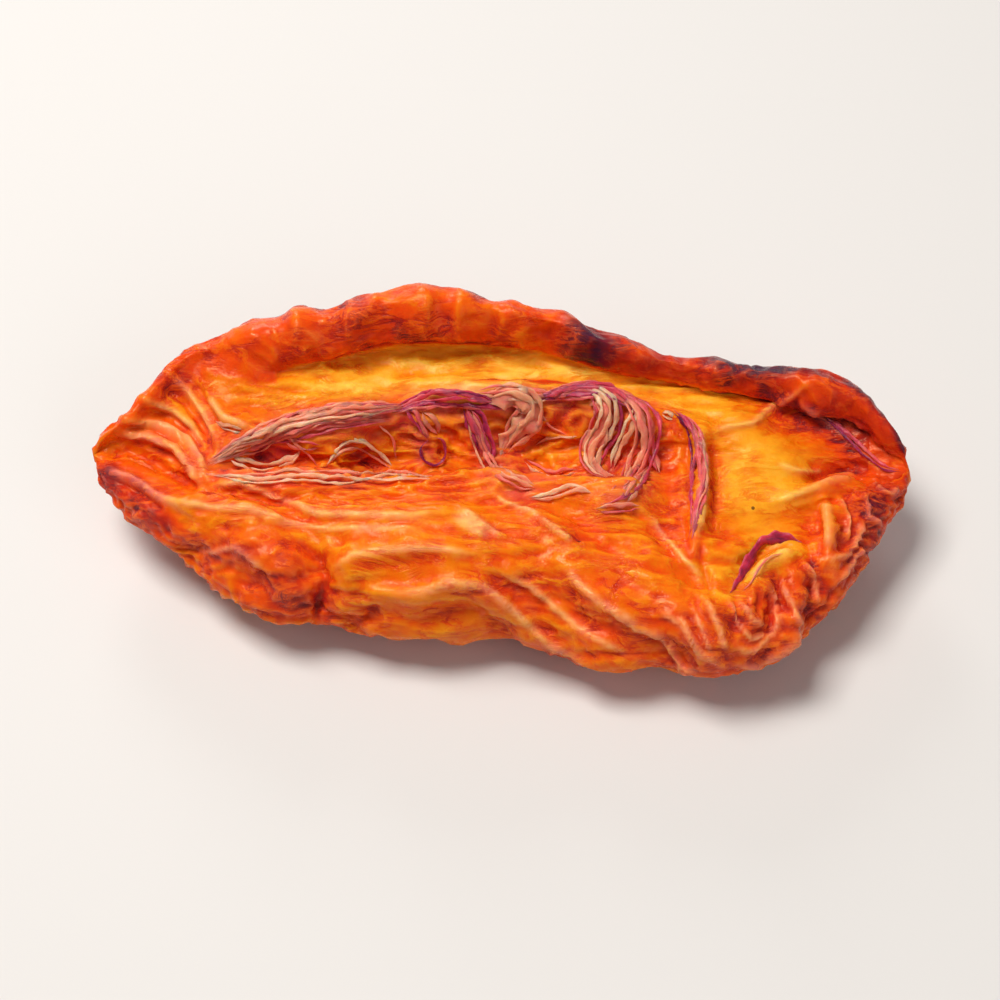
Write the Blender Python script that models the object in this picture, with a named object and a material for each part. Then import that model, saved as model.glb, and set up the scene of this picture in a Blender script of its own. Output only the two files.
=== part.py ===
"""A dried nectarine half, lying on its skin with the cut side up.

Metres, +Z up. The length runs along X with the stem end at -X, and the origin is under the
middle of the half on the surface that it lies on. The half is one piece: flesh and skin
dried into a folded boat whose far rim has rolled in over the cut face.
"""

import math

import bmesh
import bpy
from mathutils import Vector, noise

NAME = "nectarine_half"
MM = 0.001

# Driving dimensions, in millimetres. Along the length they are (x, value) keys.
HALF_LENGTH = 34.3
# Outermost line of the near flank, the side nearest a person looking along +Y.
NEAR_SIDE_Y = [
    (-34.3, 3.4), (-32.5, -0.4), (-26, -5.6), (-14.5, -12.4), (-5, -11.8), (2.4, -12.8),
    (9, -15.5), (19, -16.4), (24, -14.0), (30.7, -4.4), (34.3, 1.6),
]
# Crest of the plump near flank, where the cut flesh starts.
NEAR_CREST_Y = [
    (-34.3, 3.4), (-33, 1.9), (-30.7, -0.3), (-28, -2.0), (-24, -3.4), (-15, -4.8), (-5, -5.4),
    (5, -7.0), (15, -8.6), (24, -6.4), (30, -1.6), (34.3, 1.6),
]
NEAR_CREST_Z = [(-34.3, 7.6), (-26, 8.8), (-15, 10.2), (0, 10.5), (12, 10.2), (22, 9.4), (34.3, 7.8)]
# Level of the cut flesh, and of the skin underneath.
FLESH_Z = [(-34.3, 7.6), (-26, 8.8), (-16, 9.3), (0, 9.5), (14, 9.0), (24, 8.2), (34.3, 7.8)]
BED_Z = [
    (-34.3, 7.4), (-31, 4.2), (-26, 2.2), (-18, 0.9), (-9, 0.0), (0, -0.3), (9, 0.0), (18, 0.9),
    (26, 2.2), (31, 4.4), (34.3, 7.6),
]
# The far rim, rolled in over the flesh: the roll's middle, its radius, and how far in its lip hangs.
ROLL_Y = [
    (-34.3, 3.4), (-32, 5.2), (-29, 8.6), (-26, 11.6), (-16, 12.8), (-5.4, 14.2), (3, 13.0),
    (8, 11.2), (14, 9.8), (25, 8.2), (29.5, 7.0), (32.3, 4.4), (34.3, 1.6),
]
ROLL_Z = [
    (-34.3, 7.6), (-26, 11.0), (-16, 12.5), (-5.4, 13.5), (4, 13.0), (14, 11.4), (19, 10.9),
    (28.6, 10.6), (34.3, 7.8),
]
ROLL_RADIUS = [
    (-34.3, 0.2), (-29, 1.0), (-25, 1.4), (-19, 2.0), (4, 2.1), (14, 1.6), (20, 1.5), (27, 1.8), (34.3, 0.2),
]
LIP_REACH = [
    (-34.3, 0.2), (-27, 1.2), (-16, 2.2), (-5, 2.1), (4, 1.4), (12, 0.8), (20, 0.8), (27, 1.7), (34.3, 0.2),
]
# 1 where the roll hangs over the flesh, 0 where the flesh slopes up into it.
OVERHANG = [(-34.3, 0.0), (-23, 0.0), (-17, 0.7), (-11, 1.0), (28, 1.0), (34.3, 0.4)]
# The hollow that the stone left, long and narrow, with a torn ridge along its far edge.
HOLLOW_Y = [
    (-34.3, 3.4), (-31.5, 3.8), (-28, 3.0), (-24, 1.4), (-17, 2.2), (-7, 3.2), (0, 3.6), (8, 3.1),
    (14, 1.6), (34.3, 1.6),
]
HOLLOW_HALF = [
    (-34.3, 0.1), (-31.5, 0.9), (-28, 1.5), (-24, 1.3), (-17, 2.4), (-7, 3.5), (2, 4.3), (9, 4.6),
    (14, 2.4), (24, 2.2), (31, 1.0), (34.3, 0.1),
]
HOLLOW_DEPTH = [(-34.3, 0.0), (-25, 0.2), (-20, 2.0), (-8, 3.0), (6, 2.4), (12, 1.0), (15, 0.0), (34.3, 0.0)]
RIDGE_HEIGHT = [(-34.3, 0.0), (-24, 0.2), (-17, 1.0), (-4, 1.5), (9, 1.5), (13, 0.4), (34.3, 0.0)]

# Mesh density: rings along the length, how much closer they stand at the tips, and steps
# between neighbouring points of a section.
RINGS = 86
TIP_CROWDING = 0.5
SECTION_STEPS = [3, 3, 3, 4, 4, 4, 4, 4, 3, 4, 4, 3, 3, 4, 4, 4, 3, 3, 3]

# The flat spot that the half rests on, and how far its relief stays away from it.
REST_SPOT = (11.0, 6.0)
REST_FADE = 1.6

# Folds that drying left on the sides seen from above the near flank. Each is a height, a
# half width and the points of its line. The points lie as they look from straight across the
# length and VIEW_TILT degrees above it: along X, and up the picture.
VIEW_TILT = 55.0
FOLDS = [
    # The fan of folds drawn together at the stem end of the hollow.
    (-1.2, 1.0, [(-34.0, 6.7), (-31.7, 7.6), (-29.4, 6.8), (-26.5, 5.1), (-24.3, 4.3)]),
    (0.9, 0.9, [(-32.4, 9.2), (-29.7, 8.9), (-27.1, 7.9), (-25.6, 6.0)]),
    (-0.8, 0.8, [(-31.0, 11.2), (-28.4, 10.3), (-26.4, 8.9), (-25.0, 7.4)]),
    (0.7, 0.9, [(-29.4, 13.0), (-27.4, 11.4), (-25.6, 9.0)]),
    (-0.8, 0.9, [(-27.6, 13.8), (-26.0, 11.4), (-24.4, 8.8)]),
    (0.8, 0.9, [(-25.2, 12.6), (-23.6, 10.4), (-21.0, 9.3)]),
    # Torn membranes that cross the hollow.
    (0.9, 0.8, [(-7.7, 10.9), (-6.8, 9.0), (-6.3, 6.2)]),
    (0.9, 0.8, [(-2.1, 10.6), (-1.1, 8.1), (0.8, 4.8)]),
    (0.9, 0.8, [(2.2, 11.4), (2.4, 9.5), (0.8, 7.2)]),
    (1.0, 0.9, [(7.4, 12.2), (9.6, 10.0), (8.8, 7.2), (6.8, 5.2)]),
    (1.1, 0.9, [(10.6, 11.6), (12.2, 8.8), (11.4, 5.0), (8.3, 3.0)]),
    (-0.9, 0.9, [(-21.2, 7.3), (-18.6, 7.4)]),
    (-0.9, 0.9, [(-12.8, 6.9), (-10.8, 6.8)]),
    # Long folds between the hollow and the near flank.
    (0.8, 0.9, [(-22.5, 4.9), (-18.2, 3.9), (-14.3, 2.4), (-7.1, 2.0), (-2.3, 1.4)]),
    (-0.7, 0.8, [(-24.0, 3.6), (-19.5, 3.2), (-15.5, 1.8), (-8.0, 1.0)]),
    (0.6, 0.8, [(-27.0, 3.3), (-23.9, 2.7), (-20.6, 2.4), (-16.7, 1.0)]),
    (0.7, 0.9, [(-0.5, 3.6), (3.4, 1.8), (6.0, -0.2)]),
    (-0.8, 1.2, [(5.4, 1.9), (8.0, 0.2), (10.0, -1.0)]),
    (-0.8, 0.9, [(12.1, 2.1), (14.3, -0.8), (16.6, -3.6)]),
    # Lobes and creases of the near flank.
    (-1.0, 1.0, [(-26.6, -0.4), (-22.0, -1.8), (-18.6, -5.0)]),
    (0.8, 1.1, [(-24.0, -2.2), (-20.4, -0.2), (-17.6, -1.6), (-17.2, -5.4)]),
    (-1.3, 1.0, [(-16.1, -0.2), (-14.5, -2.2), (-14.6, -4.6), (-15.3, -7.6)]),
    (0.8, 0.9, [(-13.6, -3.4), (-11.9, -1.2), (-8.7, -0.7), (-5.9, -0.8), (-1.5, -2.0)]),
    (-0.8, 0.8, [(-10.4, -2.6), (-6.2, -2.3), (-2.6, -1.9), (0.8, -3.8), (4.0, -6.8)]),
    (0.9, 0.9, [(-9.6, -4.3), (-6.3, -4.1), (-3.9, -3.4), (-1.3, -3.7), (1.0, -5.6), (3.6, -8.0)]),
    (-1.0, 0.9, [(-8.4, -5.2), (-11.1, -6.2), (-13.3, -7.4)]),
    (-0.8, 0.8, [(-6.4, -5.6), (-2.6, -5.3), (0.6, -7.4)]),
    (0.8, 1.1, [(4.6, -1.8), (8.0, -4.6), (11.0, -6.2), (13.7, -7.4)]),
    (-0.9, 0.9, [(3.4, -3.2), (6.6, -6.2), (10.4, -8.2)]),
    (0.6, 0.9, [(10.8, -2.0), (13.4, -4.0), (15.2, -5.8)]),
    # The strap of skin that stands up beside the smooth flesh.
    (1.3, 0.85, [(14.9, 10.4), (16.4, 8.8), (16.8, 6.4), (16.3, 3.0), (15.6, -0.6)]),
    (-0.5, 0.8, [(14.2, 6.6), (14.0, 3.0), (13.6, 0.6)]),
    # Folds drawn in towards the blossom end.
    (0.7, 1.0, [(17.9, 9.3), (21.1, 9.9), (24.0, 11.6)]),
    (-1.0, 0.9, [(25.0, 5.0), (28.4, 6.1), (31.6, 5.5)]),
    (0.8, 0.9, [(22.6, 3.0), (25.7, 4.0), (28.4, 4.6), (31.2, 4.2)]),
    (-0.8, 0.8, [(25.6, 2.2), (25.4, -0.4)]),
    (0.8, 0.8, [(27.3, 3.0), (27.2, 1.0), (26.6, -1.2)]),
    (-0.7, 0.8, [(28.9, 2.8), (28.8, 0.4), (28.2, -2.2)]),
    # The torn flap, and the frills round it.
    (-1.0, 0.8, [(24.0, 0.1), (21.3, 0.0), (19.7, -2.2), (18.2, -4.2)]),
    (0.9, 0.8, [(24.6, -1.2), (22.0, -1.7), (20.5, -3.4)]),
    (0.9, 0.8, [(16.4, -4.4), (17.4, -6.6), (18.1, -8.6)]),
    (-0.8, 0.7, [(18.4, -5.4), (19.0, -7.2)]),
    (0.9, 0.8, [(19.4, -4.9), (20.2, -6.4), (21.6, -6.4)]),
    (-0.9, 0.7, [(22.6, -3.0), (22.3, -5.0), (20.6, -7.6)]),
    (0.9, 0.8, [(24.2, -3.2), (24.0, -5.6), (22.6, -7.8), (20.4, -9.2)]),
    (-0.9, 0.8, [(25.8, -2.4), (25.6, -4.8), (24.4, -7.4)]),
    (0.8, 0.8, [(27.4, -1.6), (27.0, -4.2)]),
    (0.9, 0.8, [(12.5, -5.5), (14.5, -6.9), (16.0, -9.0), (18.0, -10.2)]),
    (-0.9, 0.8, [(12.4, -7.2), (14.0, -8.9), (15.4, -10.8)]),
]


def smooth(low, high, value):
    """0 below low, 1 above high, and an S curve between them."""
    share = min(1.0, max(0.0, (value - low) / (high - low)))
    return share * share * (3.0 - 2.0 * share)


def station(x):
    """Where x lies along the half, from 0 at the stem end to 1, closer together at both tips."""
    return math.acos(max(-1.0, min(1.0, -x / HALF_LENGTH))) / math.pi


def cubic(before, start, end, after, share):
    """Catmull-Rom curve from start to end."""
    slope_in = (end - before) * 0.5
    slope_out = (after - start) * 0.5
    bend = start - end
    return (
        start
        + slope_in * share
        + (-3.0 * bend - 2.0 * slope_in - slope_out) * share**2
        + (2.0 * bend + slope_in + slope_out) * share**3
    )


def along(keys, place):
    """Value of (x, value) keys at a station, on a smooth curve that doesn't overshoot its keys."""
    places = [station(x) for x, _ in keys]
    values = [value for _, value in keys]
    last = len(keys) - 1
    i = max(k for k in range(last) if places[k] <= place + 1e-9)
    steps = [(values[k + 1] - values[k]) / (places[k + 1] - places[k]) for k in range(last)]

    def slope(k):
        if k in (0, last):
            return steps[min(k, last - 1)]
        before, after = steps[k - 1], steps[k]
        return 0.0 if before * after <= 0 else 2.0 * before * after / (before + after)

    gap = places[i + 1] - places[i]
    share = (place - places[i]) / gap
    bend = values[i] - values[i + 1]
    slope_in, slope_out = slope(i) * gap, slope(i + 1) * gap
    return (
        values[i]
        + slope_in * share
        + (-3.0 * bend - 2.0 * slope_in - slope_out) * share**2
        + (2.0 * bend + slope_in + slope_out) * share**3
    )


def section(place):
    """The points round one cross-section as (y, z), from under the middle up the near side and over."""
    near = along(NEAR_SIDE_Y, place)
    crest_y, crest_z = along(NEAR_CREST_Y, place), along(NEAR_CREST_Z, place)
    flesh, bed = along(FLESH_Z, place), along(BED_Z, place)
    roll_y, roll_z = along(ROLL_Y, place), along(ROLL_Z, place)
    radius, over = along(ROLL_RADIUS, place), along(OVERHANG, place)
    hollow, half = along(HOLLOW_Y, place), along(HOLLOW_HALF, place)
    depth, ridge = along(HOLLOW_DEPTH, place), along(RIDGE_HEIGHT, place)
    torn_edge = hollow + 0.95 * half
    lip = min(along(LIP_REACH, place), 0.6 * (roll_y - torn_edge))
    lip_y = roll_y - lip
    under_y = over * (roll_y - 0.55 * lip) + (1.0 - over) * (lip_y - 0.35 * (lip_y - torn_edge))
    width = roll_y + radius - near
    thick = crest_z - bed
    wall = roll_z - bed
    full = min(1.0, width / 12.0)
    slope = (1.0 - over) * (roll_z - flesh)
    under_lip = flesh + 0.8 * over * full + 0.6 * slope
    lip_z = max(under_lip + 0.4 * radius, roll_z + (0.3 - 0.7 * over) * radius)
    points = [
        (near + 0.52 * width, bed),
        (near + 0.27 * width, bed + 0.05 * thick),
        (near + 0.08 * width, bed + 0.2 * thick),
        (near, bed + 0.46 * thick),
        (near + 0.32 * (crest_y - near), bed + 0.84 * thick),
        (crest_y, crest_z),
        (0.5 * (crest_y + hollow - half), flesh - 0.1 * full),
        (hollow - half, flesh + 0.5 * ridge),
        (hollow - 0.45 * half, flesh - depth),
        (hollow + 0.4 * half, flesh - 0.85 * depth),
        (torn_edge, flesh + ridge),
        (0.55 * torn_edge + 0.45 * min(lip_y, under_y), flesh + 0.2 * full + 0.25 * slope),
        (under_y, under_lip),
        (lip_y, lip_z),
        (roll_y - 0.25 * radius, roll_z + (0.8 + 0.2 * over) * radius),
        (roll_y + radius, roll_z),
        (near + 0.97 * width, bed + 0.5 * wall),
        (near + 0.89 * width, bed + 0.18 * wall),
        (near + 0.74 * width, bed + 0.05 * wall),
    ]
    return [Vector((y, z)) for y, z in points]


def section_place(step):
    """The section point that a mesh step comes after, and its share of the way to the next one."""
    i = 0
    while step >= SECTION_STEPS[i]:
        step -= SECTION_STEPS[i]
        i += 1
    return i, step / SECTION_STEPS[i]


def round_section(points, start, share):
    """A point on the closed curve through a section's points."""
    around = [points[(start + k) % len(points)] for k in (-1, 0, 1, 2)]
    return cubic(*around, share)


def crease(point, scale):
    """A net of sharp raised lines from 1 down to about -1, with a mesh of this size in X, Y and Z."""
    at = Vector(c / s for c, s in zip(point, scale))
    warp = noise.noise_vector(at * 0.6) * 0.45
    return 1.0 - 3.2 * abs(noise.noise(at + warp))


def line_distance(place, line):
    """How far a place lies from a line of points, and how near that is to either end of the line."""
    nearest, end_share = 1e9, 1.0
    total = sum((b - a).length for a, b in zip(line, line[1:]))
    passed = 0.0
    for a, b in zip(line, line[1:]):
        run = b - a
        share = min(1.0, max(0.0, (place - a).dot(run) / run.length_squared))
        distance = (place - a - run * share).length
        if distance < nearest:
            nearest = distance
            reached = (passed + share * run.length) / total
            end_share = min(reached, 1.0 - reached)
        passed += run.length
    return nearest, end_share


def drying_folds(point, normal):
    """Height of the folds at a point of the smooth form."""
    tilt = math.radians(VIEW_TILT)
    facing = smooth(0.0, 0.45, normal.z * math.sin(tilt) - normal.y * math.cos(tilt))
    if facing == 0.0:
        return 0.0
    seen = Vector((point.x, point.y * math.sin(tilt) + point.z * math.cos(tilt)))
    height = 0.0
    for rise, width, keys in FOLDS:
        line = [Vector(key) for key in keys]
        distance, end_share = line_distance(seen, line)
        taper = 0.35 + 0.65 * smooth(0.0, 0.2, end_share)
        height += rise * taper * math.exp(-((distance / width) ** 2))
    return height * facing


def relief(point, normal, around):
    """How far the shrivelled surface stands off the smooth form, in millimetres.

    around counts the section's points, with 5 on the near crest, 12 under the lip and 14 on
    top of the roll.
    """
    x, y = point.x, point.y
    flank = smooth(2.0, 3.0, around) * (1.0 - smooth(5.0, 6.0, around))
    flesh = smooth(5.0, 6.0, around) * (1.0 - smooth(11.0, 12.0, around))
    roll = smooth(12.5, 13.5, around) * (1.0 - smooth(14.6, 16.0, around))
    under = 1.0 - smooth(2.0, 3.0, around) * (1.0 - smooth(14.6, 16.0, around))
    slender = 1.0 - min(1.0, 0.5 * along(ROLL_RADIUS, station(x)))
    height = drying_folds(point, normal)
    height += 0.25 * flesh * crease(point, (9.0, 3.4, 5.0))
    height += 0.4 * flank * crease(point + Vector((40, 0, 0)), (7.0, 4.5, 4.5))
    height += under * 0.8 * crease(point, (7.5, 5.5, 5.5))
    height += 0.5 * roll * crease(point + Vector((20, 30, 0)), (4.2, 9.0, 9.0))
    height += (1.5 - 0.5 * roll) * noise.noise(point * 0.11 + Vector((3.1, 7.7, 1.3)))
    height *= 1.0 - 2.0 * roll * slender
    crevice = max(0.0, 1.0 - abs(around - 12.4) / 1.4)
    height *= 1.0 - 0.8 * crevice
    across = math.hypot(x / REST_SPOT[0], y / REST_SPOT[1])
    resting = 1.0 - smooth(-0.9, -0.5, normal.z)
    height = (height - 0.4 * resting) * (1.0 - resting * (1.0 - smooth(1.0, REST_FADE, across)))
    return height * smooth(-1.0, 9.0, HALF_LENGTH - abs(x))


def ring_x(ring):
    """Where a ring stands along the half."""
    share = ring / RINGS
    crowded = -math.cos(math.pi * share)
    return HALF_LENGTH * (TIP_CROWDING * crowded + (1.0 - TIP_CROWDING) * (2.0 * share - 1.0))


def form_half(mesh):
    """Turns a sphere's rings into the half's cross-sections, and raises the folds and wrinkles."""
    steps = sum(SECTION_STEPS)
    sections = [section(station(ring_x(ring))) for ring in range(RINGS + 1)]
    around = {}
    for vertex in mesh.verts:
        x, y, z = vertex.co
        ring = round(math.acos(max(-1.0, min(1.0, -z))) / math.pi * RINGS)
        step = round(math.atan2(y, x) / math.tau * steps) % steps
        start, share = section_place(step)
        side = round_section(sections[ring], start, share)
        if ring in (0, RINGS):
            side = sum(sections[ring], Vector((0.0, 0.0))) / len(sections[ring])
        vertex.co = (ring_x(ring), side.x, side.y)
        around[vertex] = start + share
    bmesh.ops.recalc_face_normals(mesh, faces=mesh.faces)
    mesh.normal_update()
    heights = [relief(vertex.co, vertex.normal, around[vertex]) for vertex in mesh.verts]
    for vertex, height in zip(mesh.verts, heights):
        vertex.co += vertex.normal * height


def set_down(mesh):
    """Flattens the underside where it lies, and puts the origin under the middle of the half."""
    low = Vector(min(v.co[i] for v in mesh.verts) for i in range(3))
    high = Vector(max(v.co[i] for v in mesh.verts) for i in range(3))
    middle = (low + high) / 2
    for vertex in mesh.verts:
        vertex.co.x -= middle.x
        vertex.co.y -= middle.y
        vertex.co.z = max(0.0, vertex.co.z)


def dried_fruit_material():
    material = bpy.data.materials.new("dried_fruit")
    material.use_nodes = True
    surface = material.node_tree.nodes["Principled BSDF"]
    surface.inputs["Base Color"].default_value = (0.78, 0.17, 0.02, 1.0)
    surface.inputs["Roughness"].default_value = 0.42
    surface.inputs["Metallic"].default_value = 0.0
    surface.inputs["Subsurface Weight"].default_value = 0.25
    return material


def build_half():
    mesh = bmesh.new()
    bmesh.ops.create_uvsphere(mesh, u_segments=sum(SECTION_STEPS), v_segments=RINGS, radius=1.0)
    form_half(mesh)
    set_down(mesh)
    bmesh.ops.scale(mesh, vec=(MM, MM, MM), verts=mesh.verts)
    data = bpy.data.meshes.new(NAME)
    mesh.to_mesh(data)
    mesh.free()
    data.shade_smooth()
    data.materials.append(dried_fruit_material())
    return bpy.data.objects.new(NAME, data)


def main():
    for old in list(bpy.data.objects):
        bpy.data.objects.remove(old)
    collection = bpy.data.collections.new("dried_nectarine")
    bpy.context.scene.collection.children.link(collection)
    collection.objects.link(build_half())


main()
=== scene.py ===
"""The looks of a dried nectarine half that lies on its skin with the cut side up.

Metres, +Z up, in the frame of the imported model. The half is one piece: its flesh and skin
come first, then the torn fibres left in the hollow of the stone, then the floor, the light
and the camera.
"""

import math

import bmesh
import bpy
import numpy as np
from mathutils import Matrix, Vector, noise
from mathutils.bvhtree import BVHTree


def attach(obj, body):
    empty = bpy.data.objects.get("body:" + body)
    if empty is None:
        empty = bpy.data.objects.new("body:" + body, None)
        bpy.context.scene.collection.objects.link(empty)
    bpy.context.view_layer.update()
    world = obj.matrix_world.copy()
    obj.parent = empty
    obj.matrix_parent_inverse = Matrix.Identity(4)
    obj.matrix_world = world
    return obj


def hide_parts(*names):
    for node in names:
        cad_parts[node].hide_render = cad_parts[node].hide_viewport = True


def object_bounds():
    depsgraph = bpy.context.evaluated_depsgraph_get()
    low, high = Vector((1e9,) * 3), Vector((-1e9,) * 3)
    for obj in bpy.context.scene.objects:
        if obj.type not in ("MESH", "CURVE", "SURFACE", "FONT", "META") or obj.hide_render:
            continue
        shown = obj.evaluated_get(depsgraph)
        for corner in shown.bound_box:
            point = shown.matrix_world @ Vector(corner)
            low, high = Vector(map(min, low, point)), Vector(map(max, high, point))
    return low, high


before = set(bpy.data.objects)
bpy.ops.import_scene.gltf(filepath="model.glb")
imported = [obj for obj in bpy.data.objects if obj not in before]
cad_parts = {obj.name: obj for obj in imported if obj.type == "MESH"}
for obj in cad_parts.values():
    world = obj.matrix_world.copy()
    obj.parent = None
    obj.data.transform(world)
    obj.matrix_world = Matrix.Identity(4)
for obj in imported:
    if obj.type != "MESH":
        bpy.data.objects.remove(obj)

cad_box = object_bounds()

# The flesh and skin. The real half was cut, laid on its skin and dried for days. Its surface is
# far too large for what is left, and buckles into fine ridges: lengthwise on the flank, across
# the rolled rim, and drawn together like a fan at the stem end.

MM = 0.001
# Marks are placed as a person sees them who looks along +Y and VIEW_TILT degrees down: x along
# the half and v up the picture, both in millimetres. v starts SEEN_SHIFT above the frame's origin.
VIEW_TILT = math.radians(55)
SEEN_SHIFT = 0.186

# Fine ridges and creases: height, half width, and the line's points as (x, v).
FINE_FOLDS = [
    (0.5, 0.45, [(-32.9, 9), (-29.9, 8.8), (-27.3, 7.7), (-25.9, 5.9), (-24.6, 4)]),
    (0.45, 0.42, [(-32.2, 10.2), (-29, 9.7), (-26.5, 8.5), (-25.2, 6.6), (-24.4, 5)]),
    (-0.5, 0.42, [(-34.1, 6.7), (-31.7, 7.6), (-29.4, 6.7), (-26.5, 5), (-24.5, 4.2)]),
    (-0.35, 0.34, [(-32, 9.6), (-29.3, 9.2), (-27.2, 8.2), (-25.8, 6.8)]),
    (-0.35, 0.34, [(-29.9, 7.9), (-28, 7.2), (-26.6, 6)]),
    (0.4, 0.38, [(-30.6, 12), (-28.4, 11.2), (-26.2, 9.6), (-24.9, 7.6)]),
    (-0.4, 0.34, [(-30, 11), (-27.9, 10.5), (-26, 9), (-24.9, 7.2)]),
    (0.4, 0.4, [(-28.2, 14.2), (-26.6, 12.6), (-24.9, 10.4), (-23.9, 8.1)]),
    (-0.4, 0.36, [(-28.8, 13), (-26.6, 11.4), (-24.9, 9.2), (-24.2, 7.6)]),
    (-0.3, 0.32, [(-26.3, 13.6), (-24.6, 11.2), (-23.3, 9)]),
    (0.4, 0.36, [(-24.9, 12.2), (-23.4, 10.3), (-21, 9.3)]),
    (0.4, 0.38, [(-33.6, 6), (-31, 5.2), (-28.4, 3.6), (-25.6, 2.8)]),
    (-0.3, 0.34, [(-32.6, 5), (-30, 4), (-27.6, 2.2)]),
    (0.32, 0.34,
     [(-24.9, 4.2), (-21.6, 4.9), (-18.4, 3.6), (-15.1, 2.3), (-10.8, 2.1), (-7.1, 2),
      (-4.7, 2.4)]),
    (0.3, 0.3, [(-27.2, 3.3), (-23.9, 2.8), (-20.6, 2.6), (-16.7, 1.3)]),
    (0.28, 0.28, [(-19.4, 1.7), (-14.6, 1), (-10.2, 1.1), (-6.2, 0.9)]),
    (0.3, 0.3, [(-3.4, 2.6), (-1.9, 1.6), (0.2, 0.4)]),
    (0.36, 0.28, [(-0.5, 3.6), (1.4, 2.7), (3.4, 1.8)]),
    (0.4, 0.26, [(3.2, 1.9), (4.5, 0.9), (5.8, -0.1)]),
    (0.3, 0.3, [(-13.9, -2.4), (-11.9, -1), (-8.7, -0.6), (-5.9, -0.4), (-2, -1)]),
    (0.34, 0.32,
     [(-9.9, -4), (-6.3, -4), (-3.9, -3.2), (-1.3, -3.6), (1, -5.6), (3.6, -8), (8, -10.2)]),
    (-0.35, 0.34, [(-9.9, -4.8), (-11.1, -6.4), (-13.3, -7.4)]),
    (-0.4, 0.34, [(-16.1, -0.2), (-14.7, -1.6), (-14.3, -3.2), (-15.1, -5.6), (-15.3, -7.6)]),
    (0.3, 0.32, [(5, -2), (8, -4.8), (11.3, -6.6)]),
    (0.28, 0.3, [(-0.6, -2.2), (2.6, -3.6), (6.4, -7), (10.8, -9.4)]),
    (0.26, 0.28, [(-24.6, -1), (-21.6, -0.4), (-18.9, -2.2)]),
    (0.45, 0.4, [(15.3, 10), (16.6, 8.8), (17, 6.4), (16.5, 3), (15.8, -0.3)]),
    (-0.45, 0.36, [(14.6, 9.8), (15.5, 8.2), (15.7, 5.6), (15.3, 2.4), (14.9, 0.2)]),
    (-0.35, 0.34, [(17.9, 8), (18.1, 5.4), (17.6, 2)]),
    (-0.35, 0.32, [(16.3, 0.1), (16.3, -1.5), (17, -4.2)]),
    (0.34, 0.32, [(17.5, 9.1), (21.1, 9.8), (24, 11.8), (25.8, 13.1)]),
    (-0.34, 0.32, [(25.8, 5), (29.3, 5.9), (31.1, 5.3)]),
    (0.3, 0.32, [(23, 6.4), (25.1, 5.7), (27.3, 5.7)]),
    (0.32, 0.32, [(22.6, 3.2), (25.7, 4.2), (28, 5), (30.2, 5.3)]),
    (0.4, 0.34, [(27.1, 3.2), (26.9, 1), (26.6, -0.8)]),
    (-0.35, 0.3, [(26.3, 2.1), (26.3, -0.8)]),
    (0.4, 0.32, [(24, -0.9), (21.5, -1.8), (20.1, -3.4)]),
    (0.38, 0.24, [(16.4, -4.6), (17.3, -6.6), (17.9, -8.6)]),
    (0.34, 0.22, [(15.4, -5.4), (16.2, -7.2), (16.9, -8.8)]),
    (0.34, 0.22, [(14.2, -5.6), (15.2, -7.4), (16, -9.2)]),
    (0.38, 0.22, [(19.3, -4.8), (20.1, -6.2), (21.1, -6.6)]),
    (0.34, 0.22, [(18.2, -4.6), (18.9, -6.4), (20, -7.6), (21.6, -7.4)]),
    (0.38, 0.24, [(22.8, -3.2), (23.6, -5.2), (23.9, -6.8), (23.2, -8.2)]),
    (0.34, 0.22, [(21.4, -3.6), (22.3, -5.2), (22.2, -6.8)]),
    (0.38, 0.24, [(18.3, -8.4), (20.2, -8.6), (21.9, -7.3), (23, -5.5)]),
    (0.36, 0.24, [(18.6, -9.6), (20.9, -9.6), (22.9, -8.4), (24.6, -6.2)]),
    (0.4, 0.26, [(12.5, -5.3), (14.5, -6.6), (16.1, -8.8), (17.9, -9.9)]),
    (0.36, 0.24, [(10.8, -6.4), (13.2, -7.8), (14.8, -9.8), (16.8, -10.6)]),
    (0.36, 0.24, [(13.6, -7.5), (14.6, -10.2), (15.7, -10.6)]),
    (0.3, 0.26, [(8.5, -5.3), (10.8, -6.8), (13.7, -7.5)]),
    (-0.4, 0.3, [(24.6, -6.6), (26.6, -5.2), (27.5, -3.9)]),
    (0.36, 0.26, [(24.6, -1.6), (25.6, -3.2), (25.8, -5)]),
    (0.36, 0.26, [(26.2, -1.5), (28.4, -1.2), (29.6, 0.6), (30, 1.7)]),
    (0.34, 0.24, [(27.4, -3.4), (28.6, -1.8), (29.9, -0.4)]),
    (0.34, 0.24, [(28.2, 3.6), (28.6, 1.8), (28.4, 0.2)]),
    (0.34, 0.24, [(30.2, 3.8), (30.4, 2), (31.6, 1.4)]),
    (0.34, 0.24, [(31, 4.6), (32.4, 3.8), (33.2, 4.4)]),
    (-0.3, 0.34, [(14.6, 2.4), (14.9, 0.6), (15.4, -0.8)]),
    (0.3, 0.3, [(12.1, 2.1), (14.3, -0.8), (16.5, -3.2)]),
    (0.35, 0.3, [(24.8, 12), (28.4, 9.3), (30.2, 7.5), (31.8, 5.9), (33.8, 5.7)]),
]

# How the drying skin buckles. Stiffness against bending, against leaving the form outwards, and
# how much harder it is to sink in; the first two set how far apart the ridges stand.
BENDING = 0.9
HOLD = 0.03
SINKING = 3.0
# It starts from small random waves, is a little too large at the first step, and as large as it
# gets at RIPE_AT of the steps. Each step keeps part of a point's speed and adds part of the pull,
# less of it where more than USUAL_SPRINGS meet.
START_DRAW, START_WAVES = 7, 0.10
DRYING_STEPS, HEAD_START, RIPE_AT = 360, 20, 0.65
KEPT_SPEED, PULL_TAKEN, USUAL_SPRINGS = 0.9, 0.1, 8.0
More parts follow.
